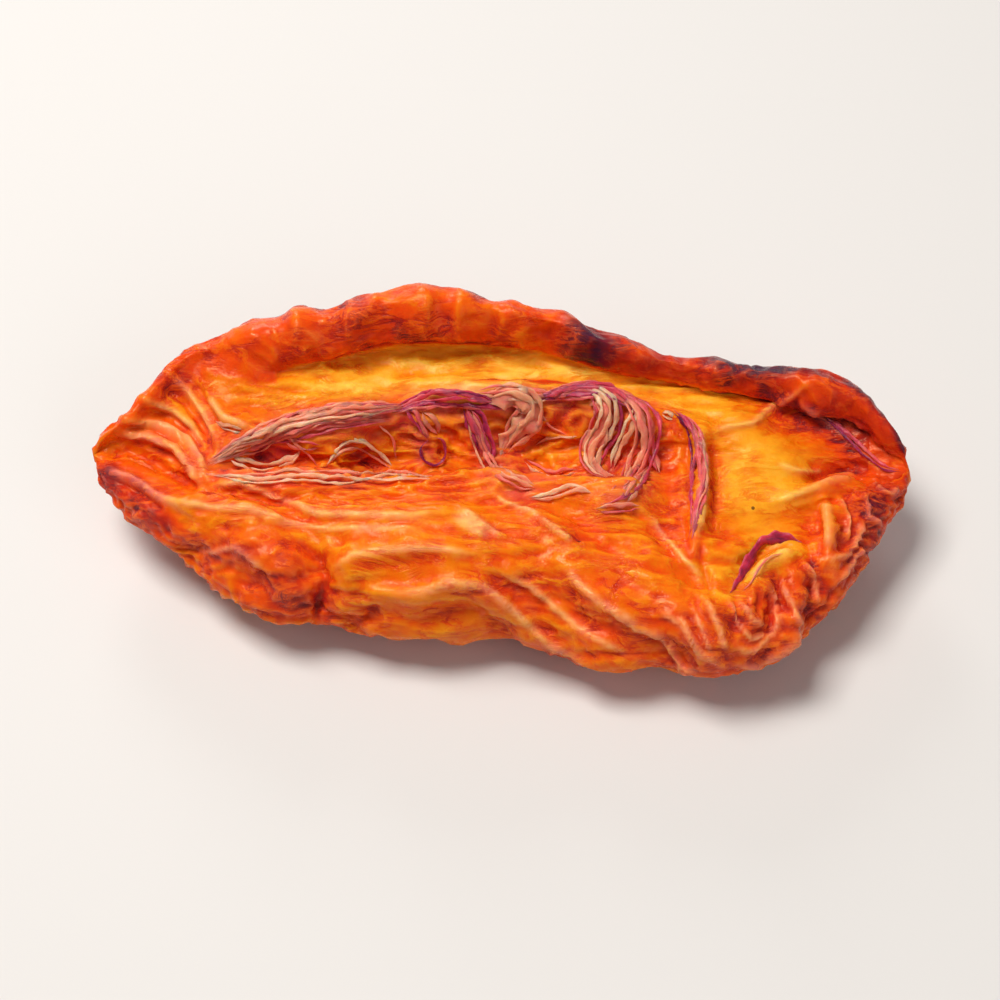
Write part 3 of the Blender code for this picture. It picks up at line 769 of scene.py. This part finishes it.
def flesh_material():
    """Dried flesh and skin, a little see-through: painted shade makes it redder in the folds and
    fine grooves, and painted highlight makes it waxy and pale on the crests and ridges.
    """
    material, nodes = new_material("dried_flesh")
    place = nodes.add("ShaderNodeTexCoord").outputs["Object"]
    cloudy = nodes.ripple(place, 260.0, 4.0, 0.6, 0.4)
    grainy = nodes.ripple(place, 1100.0, 3.0, 0.65, 0.3)
    grain = nodes.add("ShaderNodeGroup", {"node_tree": GRAIN}).outputs
    tone = nodes.plus(nodes.mark("tone"), cloudy, 0.30)
    tone = nodes.plus(tone, grainy, 0.16)
    # Painted shade: the grain's fine grooves make the tone darker.
    tone = nodes.plus(tone, grain["Line"], 0.20)
    # The pulp under the torn fibres is pink, darkened as painted shade so that the gaps between the
    # strands look dark, and darker still in the valleys, also painted shade.
    pulp_tone = nodes.plus(0.60, nodes.mark("valley_shade"), 0.30)
    pulp = nodes.add("ShaderNodeGroup", {"node_tree": FIBRE}, Tone=pulp_tone).outputs["Color"]
    uneven = nodes.plus(0.9, grainy, 1.4)
    # Painted highlight: the crests and the grain's raised lines are mixed towards lighter, waxy
    # colours.
    painted_highlight = nodes.plus(nodes.math("MULTIPLY", nodes.mark("crest"), 0.34), grain["RidgeHighlight"], 0.34)
    painted_highlight = nodes.math("MULTIPLY", painted_highlight, uneven, True)
    pale = nodes.math("MULTIPLY", nodes.math("MULTIPLY", nodes.mark("pale"), 0.60), uneven, True)
    specks = nodes.add("ShaderNodeTexVoronoi", Vector=place, Scale=170.0).outputs["Distance"]
    speck = nodes.math("MULTIPLY", nodes.math("LESS_THAN", specks, 0.025), 0.8)
    colour = nodes.ramp(tone, FLESH_COLOURS)
    colour = nodes.mix(nodes.mark("pulp"), colour, pulp)
    colour = nodes.mix(painted_highlight, colour, nodes.ramp(tone, CREST_HIGHLIGHT_COLOURS))
    # Painted highlight along the raised fine folds, and the pale marks of the cut face.
    colour = nodes.mix(pale, colour, nodes.ramp(tone, DRIED_AND_HIGHLIGHT_COLOURS))
    colour = nodes.mix(speck, colour, SPECK_COLOUR)
    rough = nodes.plus(0.14, grain["Gloss"], 0.40)
    rough = nodes.plus(rough, tone, -0.10)
    rough = nodes.plus(rough, nodes.mark("crest"), -0.06)
    bump = nodes.add("ShaderNodeBump", Height=grain["Height"], Strength=0.6, Distance=0.00020)
    values = {
        "Subsurface Weight": 0.35,
        "Subsurface Radius": (1.0, 0.32, 0.10),
        "Subsurface Scale": 0.0012,
        "Specular IOR Level": 0.29,
        "Specular Tint": (1.0, 0.70, 0.42, 1.0),
    }
    finish_surface(nodes, colour, rough, bump, values)
    return material


half_data.materials.append(flesh_material())

# The torn fibres. Where the stone was pulled out, pink strands and thin curled membranes of flesh
# stayed on the hollow's edges and dried there. The strap of skin, the torn flap and the lip of the
# right-hand fold have the same thin dried edges.

# Strands, how far they spread, width, curl and lean in degrees, tone at both ends, and the line
# as (x, v, lift).
TORN = [
    # The bundle along the hollow's far edge.
    (7, 1.5, 0.36, 150, 0, 0.28, 0.47,
     [(-24.4, 6.2, 0), (-20.5, 8.1, 0.3), (-15.7, 9.8, 0.5), (-11.5, 10.5, 0.5),
      (-8.2, 10.9, 0.4)]),
    (3, 0.9, 0.42, 130, 10, 0.22, 0.34,
     [(-22.6, 7.6, 0.2), (-17.5, 9.6, 0.6), (-12.5, 10.6, 0.7), (-8, 11, 0.3)]),
    (5, 1.3, 0.4, 150, 0, 0.68, 0.78,
     [(-9, 10.6, 0.2), (-6.4, 11.3, 0.6), (-3.9, 11.5, 0.7), (-1.4, 11.3, 0.5), (0.6, 10.9, 0.2)]),
    (3, 0.9, 0.36, 150, 0, 0.5, 0.36,
     [(-2, 12.1, 0.3), (0.6, 12.2, 0.6), (3, 11.8, 0.5), (5, 11.9, 0.3)]),
    (6, 1.2, 0.4, 150, 0, 0.7, 0.6,
     [(2.3, 11.5, 0.2), (4.6, 11.9, 0.6), (7, 12.3, 0.7), (9.2, 12, 0.8), (11, 10.9, 0.5),
      (12.2, 9.6, 0.2)]),
    (3, 0.7, 0.32, 150, 0, 0.64, 0.46,
     [(-21.4, 7.4, 0), (-17.2, 8.7, 0.2), (-13, 9.5, 0.3), (-9.2, 9.9, 0.1)]),
    # Membranes that hang into it.
    (2, 0.5, 0.4, 150, 20, 0.72, 0.58,
     [(-7.8, 10.8, 0.4), (-7.1, 9.9, 0.4), (-6.4, 9, 0.4), (-6, 8.3, 0.2)]),
    (2, 0.5, 0.34, 120, 10, 0.24, 0.34, [(-6.5, 10.6, 0.2), (-5.9, 9.8, 0.3), (-5.2, 8.8, 0.1)]),
    (1, 0, 0.42, 180, 0, 0.98, 0.88,
     [(-6, 8.2, 0.4), (-6.6, 7.4, 0.4), (-6.3, 6.5, 0.4), (-5.5, 6.1, 0.4), (-4.7, 6.6, 0.5),
      (-4.5, 7.5, 0.5), (-4.9, 8.2, 0.5), (-5.6, 8.4, 0.5)]),
    (4, 1.4, 0.5, 120, -20, 0.8, 0.68,
     [(-2.9, 11, 0.4), (-2, 9.6, 0.5), (-1.3, 8, 0.4), (-0.9, 6.4, 0.2)]),
    (3, 1, 0.34, 150, 0, 0.44, 0.34,
     [(-2.6, 10.8, 0.5), (-2, 9, 0.5), (-1.4, 7.2, 0.4), (-0.6, 5.8, 0.3), (0.6, 4.9, 0.1)]),
    (1, 0, 2.9, 60, 15, 0.36, 0.3,
     [(-1.4, 11.4, 0.2), (0.6, 11.9, 0.3), (2.3, 11.3, 0.4), (2.6, 10.2, 0.4), (1.4, 9, 0.2),
      (0.4, 7.6, 0), (0.1, 6.8, -0.1)]),
    (3, 1.9, 0.5, 130, 0, 0.18, 0.28,
     [(-1, 11.6, 0.3), (0.8, 12, 0.6), (2.4, 11.2, 0.8), (2.5, 10.1, 0.8), (1.4, 8.9, 0.5),
      (0.4, 7.4, 0.2)]),
    (1, 0, 2.3, 60, -20, 0.4, 0.36,
     [(6.8, 12.4, 0.2), (8.1, 11.8, 0.5), (8.8, 10.6, 0.6), (8.5, 9, 0.5), (7.7, 7.6, 0.3),
      (7.6, 6.2, 0.2), (8.6, 5.3, 0.1), (9.6, 5.2, 0)]),
    (3, 1.3, 0.5, 130, 0, 0.16, 0.26,
     [(7, 12.5, 0.4), (8.3, 11.8, 0.9), (9, 10.5, 1), (8.6, 8.9, 0.9), (7.7, 7.4, 0.7),
      (7.8, 6, 0.4), (8.8, 5.2, 0.2)]),
    (2, 2.1, 0.3, 150, 0, 0.7, 0.62,
     [(7, 12.5, 0.3), (8.3, 11.8, 0.6), (9, 10.5, 0.7), (8.6, 8.9, 0.6), (7.7, 7.4, 0.5),
      (7.8, 6, 0.3), (8.8, 5.2, 0.1)]),
    (2, 0.5, 0.5, 120, -15, 0.04, 0.14,
     [(11.3, 10.9, 0.5), (10.9, 9.6, 0.8), (10.3, 8.2, 0.7), (9.7, 7, 0.4), (9.4, 5.9, 0.1)]),
    (3, 1.1, 0.55, 120, 20, 0.44, 0.3,
     [(9.6, 12.1, 0.4), (11.1, 11, 0.8), (11.9, 9.2, 0.9), (11.8, 7.3, 0.8), (11, 5.4, 0.5),
      (9.6, 4.2, 0.1)]),
    (2, 1.7, 0.32, 150, 0, 0.78, 0.66,
     [(10, 12, 0.3), (11.6, 10.8, 0.6), (12.3, 9, 0.7), (11.9, 6.8, 0.5), (10.9, 4.9, 0.3),
      (9.2, 3.6, 0.1), (8, 3.2, 0)]),
    (2, 0.5, 0.5, 130, 20, 1, 0.5,
     [(11.8, 9.5, 0.5), (12.3, 8.2, 0.7), (12.8, 6.8, 0.5), (13.2, 5.4, 0.2)]),
    (3, 0.9, 0.42, 140, 0, 0.46, 0.34,
     [(12.3, 6, 0.2), (11.2, 5, 0.4), (10.4, 3.8, 0.2), (10, 3, 0)]),
    # Lumps and thin ridges on its near edge and floor.
    (3, 0.9, 0.4, 150, 0, 0.34, 0.22,
     [(-1, 6.1, 0), (0.2, 5.1, 0.4), (1.4, 4.6, 0.4), (2.8, 4.3, 0.1)]),
    (2, 0.5, 0.4, 150, 0, 0.16, 0.24,
     [(2.4, 3.4, 0), (4.4, 3.6, 0.3), (6, 4.1, 0.3), (7.6, 3.8, 0)]),
    (2, 0.4, 0.34, 150, 0, 0.34, 0.44, [(7.8, 2.5, 0), (9.6, 2.5, 0.2), (11.4, 2.7, 0)]),
    (1, 0, 0.34, 150, 0, 0.16, 0.22,
     [(3, 7.9, 0), (4.4, 8.5, 0.3), (5.8, 8.5, 0.3), (7.2, 8.1, 0)]),
    (1, 0, 0.3, 160, 0, 0.34, 0.44, [(3, 10.8, 0.2), (4.1, 9.5, 0.4), (5.6, 8.7, 0.1)]),
    (2, 0.6, 0.3, 160, 0, 0.3, 0.4,
     [(2.2, 6.6, 0), (3.4, 5.6, 0.3), (4.8, 5.2, 0.3), (6.6, 5.7, 0.1)]),
    (2, 0.4, 0.36, 150, 0, 0.14, 0.26,
     [(-22.8, 6.9, 0), (-21.2, 6.1, 0.3), (-19.2, 5.9, 0.3), (-17.4, 6.5, 0.3),
      (-16.6, 7.6, 0.1)]),
    (2, 0.4, 0.36, 150, 0, 0.14, 0.24,
     [(-14.6, 6, 0), (-13.2, 7.4, 0.3), (-11.8, 7.8, 0.4), (-10.3, 7, 0.3), (-9, 5.9, 0)]),
    (2, 0.5, 0.32, 150, 0, 0.36, 0.54, [(-18.2, 8.3, 0), (-16.6, 7.7, 0.3), (-15, 7.7, 0)]),
    (1, 0, 0.3, 160, 0, 0.3, 0.5, [(-17.8, 8.6, 0.2), (-16.2, 7, 0.4), (-15.2, 6, 0)]),
    (1, 0, 0.3, 160, 0, 0.26, 0.46, [(-10.4, 9.8, 0.2), (-9.1, 8.3, 0.4), (-8.7, 6.6, 0)]),
    (3, 0.7, 0.34, 150, 0, 0.14, 0.2,
     [(-24.4, 5.4, 0), (-20.6, 5, 0.2), (-16.8, 5.2, 0.3), (-12.2, 5, 0.3), (-8.2, 5.2, 0.3),
      (-4.6, 5, 0)]),
    (2, 0.3, 0.3, 160, 0, 0.1, 0.16, [(-23.8, 9.9, 0), (-22.6, 9.3, 0.2), (-21.4, 9, 0)]),
    (2, 0.35, 0.34, 160, 0, -0.1, -0.1, [(13.6, 10.5, 0), (14, 10.35, 0.2), (14.6, 10.1, 0)]),
    # The strap of skin, the torn flap and the lip of the right-hand fold.
    (3, 0.7, 0.5, 120, -10, 0.6, 0.56,
     [(14.9, 10.5, 0.1), (15.9, 9.4, 0.3), (16.4, 8, 0.3), (16.5, 5.9, 0.3), (16.2, 3.4, 0.2),
      (15.7, 1.2, 0.1), (15.4, 0, 0)]),
    (2, 0.4, 0.4, 150, 0, 0.98, 0.74,
     [(14.5, 10.7, 0.2), (15.4, 9.6, 0.4), (15.9, 8.2, 0.3), (16, 6.4, 0.2), (15.8, 4.6, 0)]),
    (1, 0, 0.36, 150, 0, 0.3, 0.36,
     [(16.6, 8.8, 0.3), (16.9, 7, 0.4), (16.8, 5, 0.4), (16.3, 2.8, 0.3), (15.8, 1.2, 0.1)]),
    (1, 0, 1.5, 50, 25, 0.92, 0.86,
     [(24.6, -0.2, 0), (23, 0, 0.3), (21.5, -0.2, 0.4), (20.7, -1.1, 0.4), (19.9, -2.4, 0.3),
      (19, -3.5, 0.2), (18.3, -4.3, 0)]),
    (1, 0, 0.3, 150, 0, 0.34, 0.4,
     [(22.8, -1, 0), (21.8, -1.3, 0.3), (21, -2.1, 0.4), (20.1, -3.3, 0.2), (19.3, -4.1, 0)]),
    (2, 0.4, 0.36, 150, 0, 0.84, 0.7,
     [(27.2, 10.2, 0), (28.6, 9.2, 0.1), (30.2, 7.5, 0.2), (31.8, 6, 0.2), (33.4, 5.7, 0)]),
]
FIBRE_THICKNESS = 0.17
FIBRE_STEP = 0.17
ACROSS_STEPS = 6
# The share of its full curl that a strip has kept, and how frayed its edges are and how crumpled
# it is, for a strip 1 mm wide.
CURL_KEPT = 0.62
FRAYED = 0.36
CRUMPLED = 0.10
# How much darker a strip is painted underneath, as painted shade, and paler at its edges.
UNDER_SHADE = 0.14
EDGE_TONE = 0.10
# Strands of one bundle differ in width, from NARROWEST up, and in tone, each by a fixed turn.
NARROWEST, WIDTH_RANGE, WIDTH_TURN = 0.7, 0.7, 0.618
TONE_RANGE, TONE_TURN = 0.16, 2.4
# The first strand's first seed, and how many seeds each has for its noise.
FIRST_SEED, STRAND_SEEDS = 40, 6


def curve_through(keys, spacing):
    """Points about this far apart on a smooth curve through the keys."""
    keys = np.array(keys, float)
    ends = np.vstack((2 * keys[0] - keys[1], keys, 2 * keys[-1] - keys[-2]))
    found = []
    for before, start, end, after in zip(ends, ends[1:], ends[2:], ends[3:]):
        count = max(2, int(np.linalg.norm(end[:2] - start[:2]) / spacing))
        share = (np.arange(count) / count)[:, None]
        bend = start - end
        slope_in, slope_out = 0.5 * (end - before), 0.5 * (after - start)
        found.append(
            start
            + slope_in * share
            + (-3 * bend - 2 * slope_in - slope_out) * share**2
            + (2 * bend + slope_in + slope_out) * share**3
        )
    return np.vstack(found + [keys[-1:]])


def even_out(values, reach):
    """Values along a line, each averaged with those up to reach steps away."""
    padded = np.pad(values, reach, mode="edge")
    return np.convolve(padded, np.ones(2 * reach + 1) / (2 * reach + 1), mode="valid")


faces = [tuple(face.vertices) for face in half_data.polygons]
surface_tree = BVHTree.FromPolygons([Vector(p) for p in points], faces)
UP_THE_PICTURE = Vector((0.0, math.sin(VIEW_TILT), math.cos(VIEW_TILT)))
TO_VIEWER = Vector((0.0, -math.cos(VIEW_TILT), math.sin(VIEW_TILT)))
WELL_OUTSIDE = 60.0


def depth_at(x, v):
    """How near to the viewer the flesh is at a mark's place."""
    start = Vector((x, 0, 0)) + UP_THE_PICTURE * (v + SEEN_SHIFT) + TO_VIEWER * WELL_OUTSIDE
    hit = surface_tree.ray_cast(start, -TO_VIEWER)[0]
    return hit.dot(TO_VIEWER)


def turned(side, normal, angle):
    """Both directions turned by an angle about the line that they stand on."""
    cosine, sine = np.cos(angle)[:, None], np.sin(angle)[:, None]
    return side * cosine + normal * sine, normal * cosine - side * sine


def torn_strip(keys, aside, width, curl, lean, first, last, seed):
    """Points, faces, tones and streaks of one curled strip that lies on the flesh.

    aside is how far it runs beside the line of the keys.
    """
    line = curve_through(keys, FIBRE_STEP)
    share = np.linspace(0.0, 1.0, len(line))
    flat = np.stack((line[:, 0], line[:, 1], np.zeros_like(share)), 1)
    heading = np.gradient(line[:, :2], axis=0)
    heading /= np.linalg.norm(heading, axis=1)[:, None]
    fringe = smooth(0.0, 0.3, share) * smooth(0.0, 0.3, 1.0 - share)
    wander = (aside + 0.35 * cloud(flat, 2.4, seed + 4)) * (0.35 + 0.65 * fringe)
    line[:, 0] -= heading[:, 1] * wander
    line[:, 1] += heading[:, 0] * wander
    depth = np.array([depth_at(x, v) for x, v, _ in line])
    depth = 0.5 * even_out(depth, 3) + 0.5 * even_out(depth, 8)
    lift = line[:, 2] + 0.16 * cloud(flat, 1.3, seed) * fringe
    middle = np.outer(line[:, 0], (1, 0, 0)) + np.outer(line[:, 1] + SEEN_SHIFT, UP_THE_PICTURE)
    middle = middle + np.outer(depth, TO_VIEWER) + np.outer(lift, (0.0, -0.3, 0.95))
    along_line = np.gradient(middle, axis=0)
    along_line /= np.linalg.norm(along_line, axis=1)[:, None]
    side = np.cross(along_line, np.array(TO_VIEWER))
    side /= np.linalg.norm(side, axis=1)[:, None]
    normal = np.cross(side, along_line)
    sway = 0.9 * cloud(middle, 2.2, seed + 1)
    side, normal = turned(side, normal, math.radians(lean) + sway)
    taper = np.minimum(smooth(0.0, 0.2, share), smooth(0.0, 0.2, 1.0 - share)) * 0.94 + 0.06
    wide = width * taper * (1.0 + 0.5 * cloud(middle, 1.3, seed + 2))
    bend = math.radians(CURL_KEPT * curl)
    radius = wide / bend
    rings, tones, streaks = [], [], []
    steps = np.linspace(-1.0, 1.0, ACROSS_STEPS)
    for under, order in ((0.0, steps), (1.0, steps[::-1])):
        for u in order:
            angle = 0.5 * bend * u
            thick = FIBRE_THICKNESS * (1.0 - 0.65 * u * u) * taper * under
            reach = (radius - thick) * math.sin(angle)
            rise = (radius - thick) * math.cos(angle) - radius * math.cos(0.5 * bend)
            frayed = FRAYED * width**0.5 * abs(u) * cloud(middle + 3.0 * u, 0.8, seed + 3) * taper
            crumpled = CRUMPLED * width * cloud(middle + 1.1 * u, 0.9, seed + 5)
            out = reach + math.copysign(1.0, u) * frayed
            up = rise + 0.5 * frayed + crumpled
            rings.append(middle + out[:, None] * side + up[:, None] * normal)
            # The under face is darker as painted shade.
            tone = first + (last - first) * share + UNDER_SHADE * under
            tones.append(tone - EDGE_TONE * abs(u) ** 3 * (1.0 - under))
            streaks.append(np.full(len(share), u * width))
    rings, tones, streaks = np.stack(rings, 1), np.stack(tones, 1), np.stack(streaks, 1)
    count, round_it = rings.shape[:2]
    numbers = np.arange(count * round_it).reshape(count, round_it)
    beside = np.roll(numbers, -1, axis=1)
    quads = np.stack((numbers[:-1], beside[:-1], beside[1:], numbers[1:]), -1).reshape(-1, 4)
    caps = [tuple(numbers[0][::-1]), tuple(numbers[-1])]
    return rings.reshape(-1, 3), [tuple(q) for q in quads] + caps, tones.ravel(), streaks.ravel()


strands = []
for strand_count, spread_out, full_width, *rest in TORN:
    for strand in range(strand_count):
        share = strand / (strand_count - 1) - 0.5 if strand_count > 1 else 0.0
        width = full_width * (NARROWEST + WIDTH_RANGE * (WIDTH_TURN * strand % 1.0))
        strands.append((spread_out * share, width, *rest))
strip_points, strip_faces, strip_tones, strip_streaks = [], [], [], []
counted = 0
for number, (aside, width, curl, lean, first, last, keys) in enumerate(strands):
    shade = TONE_RANGE * math.sin(TONE_TURN * number) if aside != 0.0 else 0.0
    seed = FIRST_SEED + STRAND_SEEDS * number
    found, strip, tones, streaks = torn_strip(
        keys, aside, width, curl, lean, first + shade, last + shade, seed
    )
    strip_points.append(found)
    strip_tones.append(tones)
    strip_streaks.append(streaks)
    strip_faces += [tuple(int(corner) + counted for corner in face) for face in strip]
    counted += len(found)
strip_points = np.vstack(strip_points)
fibre_data = bpy.data.meshes.new("torn_fibres")
fibre_data.from_pydata(strip_points * MM, [], strip_faces)
fibre_data.shade_smooth()
keep_marks(
    fibre_data, {"tone": np.concatenate(strip_tones), "streak": np.concatenate(strip_streaks)}
)
fibres = set_down("torn_fibres", fibre_data)
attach(fibres, "root")


def fibre_material():
    """Thin dried pulp that light shines into, from peach to dark purple."""
    material, nodes = new_material("torn_fibre")
    place = nodes.add("ShaderNodeTexCoord").outputs["Object"]
    aside = nodes.math("MULTIPLY", nodes.mark("streak"), 0.004)
    aside = nodes.add("ShaderNodeCombineXYZ", X=aside).outputs[0]
    place = nodes.add("ShaderNodeVectorMath", {"operation": "ADD"}, _0=place, _1=aside).outputs[0]
    tone = nodes.plus(nodes.mark("tone"), nodes.ripple(place, 700.0, 3.0, 0.6), 0.35)
    colour = nodes.add("ShaderNodeGroup", {"node_tree": FIBRE}, Tone=tone).outputs["Color"]
    grain = nodes.add("ShaderNodeGroup", {"node_tree": GRAIN}).outputs
    rough = nodes.plus(0.14, grain["Gloss"], 0.4)
    bump = nodes.add("ShaderNodeBump", Height=grain["Height"], Strength=0.5, Distance=0.00018)
    values = {
        "Subsurface Weight": 0.60,
        "Subsurface Radius": (1.0, 0.40, 0.22),
        "Subsurface Scale": 0.0011,
        "Specular IOR Level": 0.29,
    }
    finish_surface(nodes, colour, rough, bump, values)
    return material


fibre_data.materials.append(fibre_material())

# The floor, light and camera. The half lies on a plain pale floor. A soft key light from the upper
# left, a weak fill from the right and one from behind stand for the daylight of the photograph,
# and the camera looks down as it did there.

FLOOR_CORNERS = [(-1, -1, 0), (1, -1, 0), (1, 1, 0), (-1, 1, 0)]
floor_data = bpy.data.meshes.new("floor")
floor_data.from_pydata(FLOOR_CORNERS, [], [(0, 1, 2, 3)])
floor = set_down("floor", floor_data)
floor_paint, paint_nodes = new_material("floor")
set_sockets(
    paint_nodes.tree.nodes["Principled BSDF"],
    {"Base Color": (0.72, 0.7, 0.68, 1.0), "Roughness": 0.8},
)
floor_data.materials.append(floor_paint)


def soft_light(name, place, size, power, tint):
    """A square area light that looks at the half."""
    lamp = bpy.data.lights.new(name, "AREA")
    lamp.shape = "SQUARE"
    lamp.size = size
    lamp.energy = power
    lamp.color = tint
    holder = set_down(name, lamp)
    holder.location = place
    holder.rotation_euler = (-Vector(place)).to_track_quat("-Z", "Y").to_euler()


soft_light("key", (-0.15, 0.06, 0.44), 0.20, 2.25, (1.0, 0.97, 0.93))
soft_light("fill", (0.32, -0.34, 0.26), 0.40, 0.6, (0.97, 0.97, 1.0))
soft_light("rim", (-0.10, 0.42, 0.20), 0.14, 0.5, (1.0, 1.0, 1.0))
world = bpy.data.worlds.new("studio")
world.use_nodes = True
set_sockets(
    world.node_tree.nodes["Background"], {"Color": (1.0, 0.97, 0.94, 1.0), "Strength": 0.17}
)
bpy.context.scene.world = world
bpy.context.scene.view_settings.view_transform = "Standard"

# The camera stands where the half's length takes up this share of the picture's width.
HALF_LENGTH = 0.0686
PICTURE_SHARE = 0.82
LOOKED_AT = Vector((0.0, 0.0, 0.006))
camera_data = bpy.data.cameras.new("camera")
camera_data.lens = 85
camera_data.sensor_width = 36
camera_data.clip_start = 0.01
distance = HALF_LENGTH / PICTURE_SHARE * camera_data.lens / camera_data.sensor_width
camera = set_down("camera", camera_data)
camera.location = LOOKED_AT + distance * TO_VIEWER
camera.rotation_euler = (math.radians(90) - VIEW_TILT, 0.0, 0.0)
bpy.context.scene.camera = camera
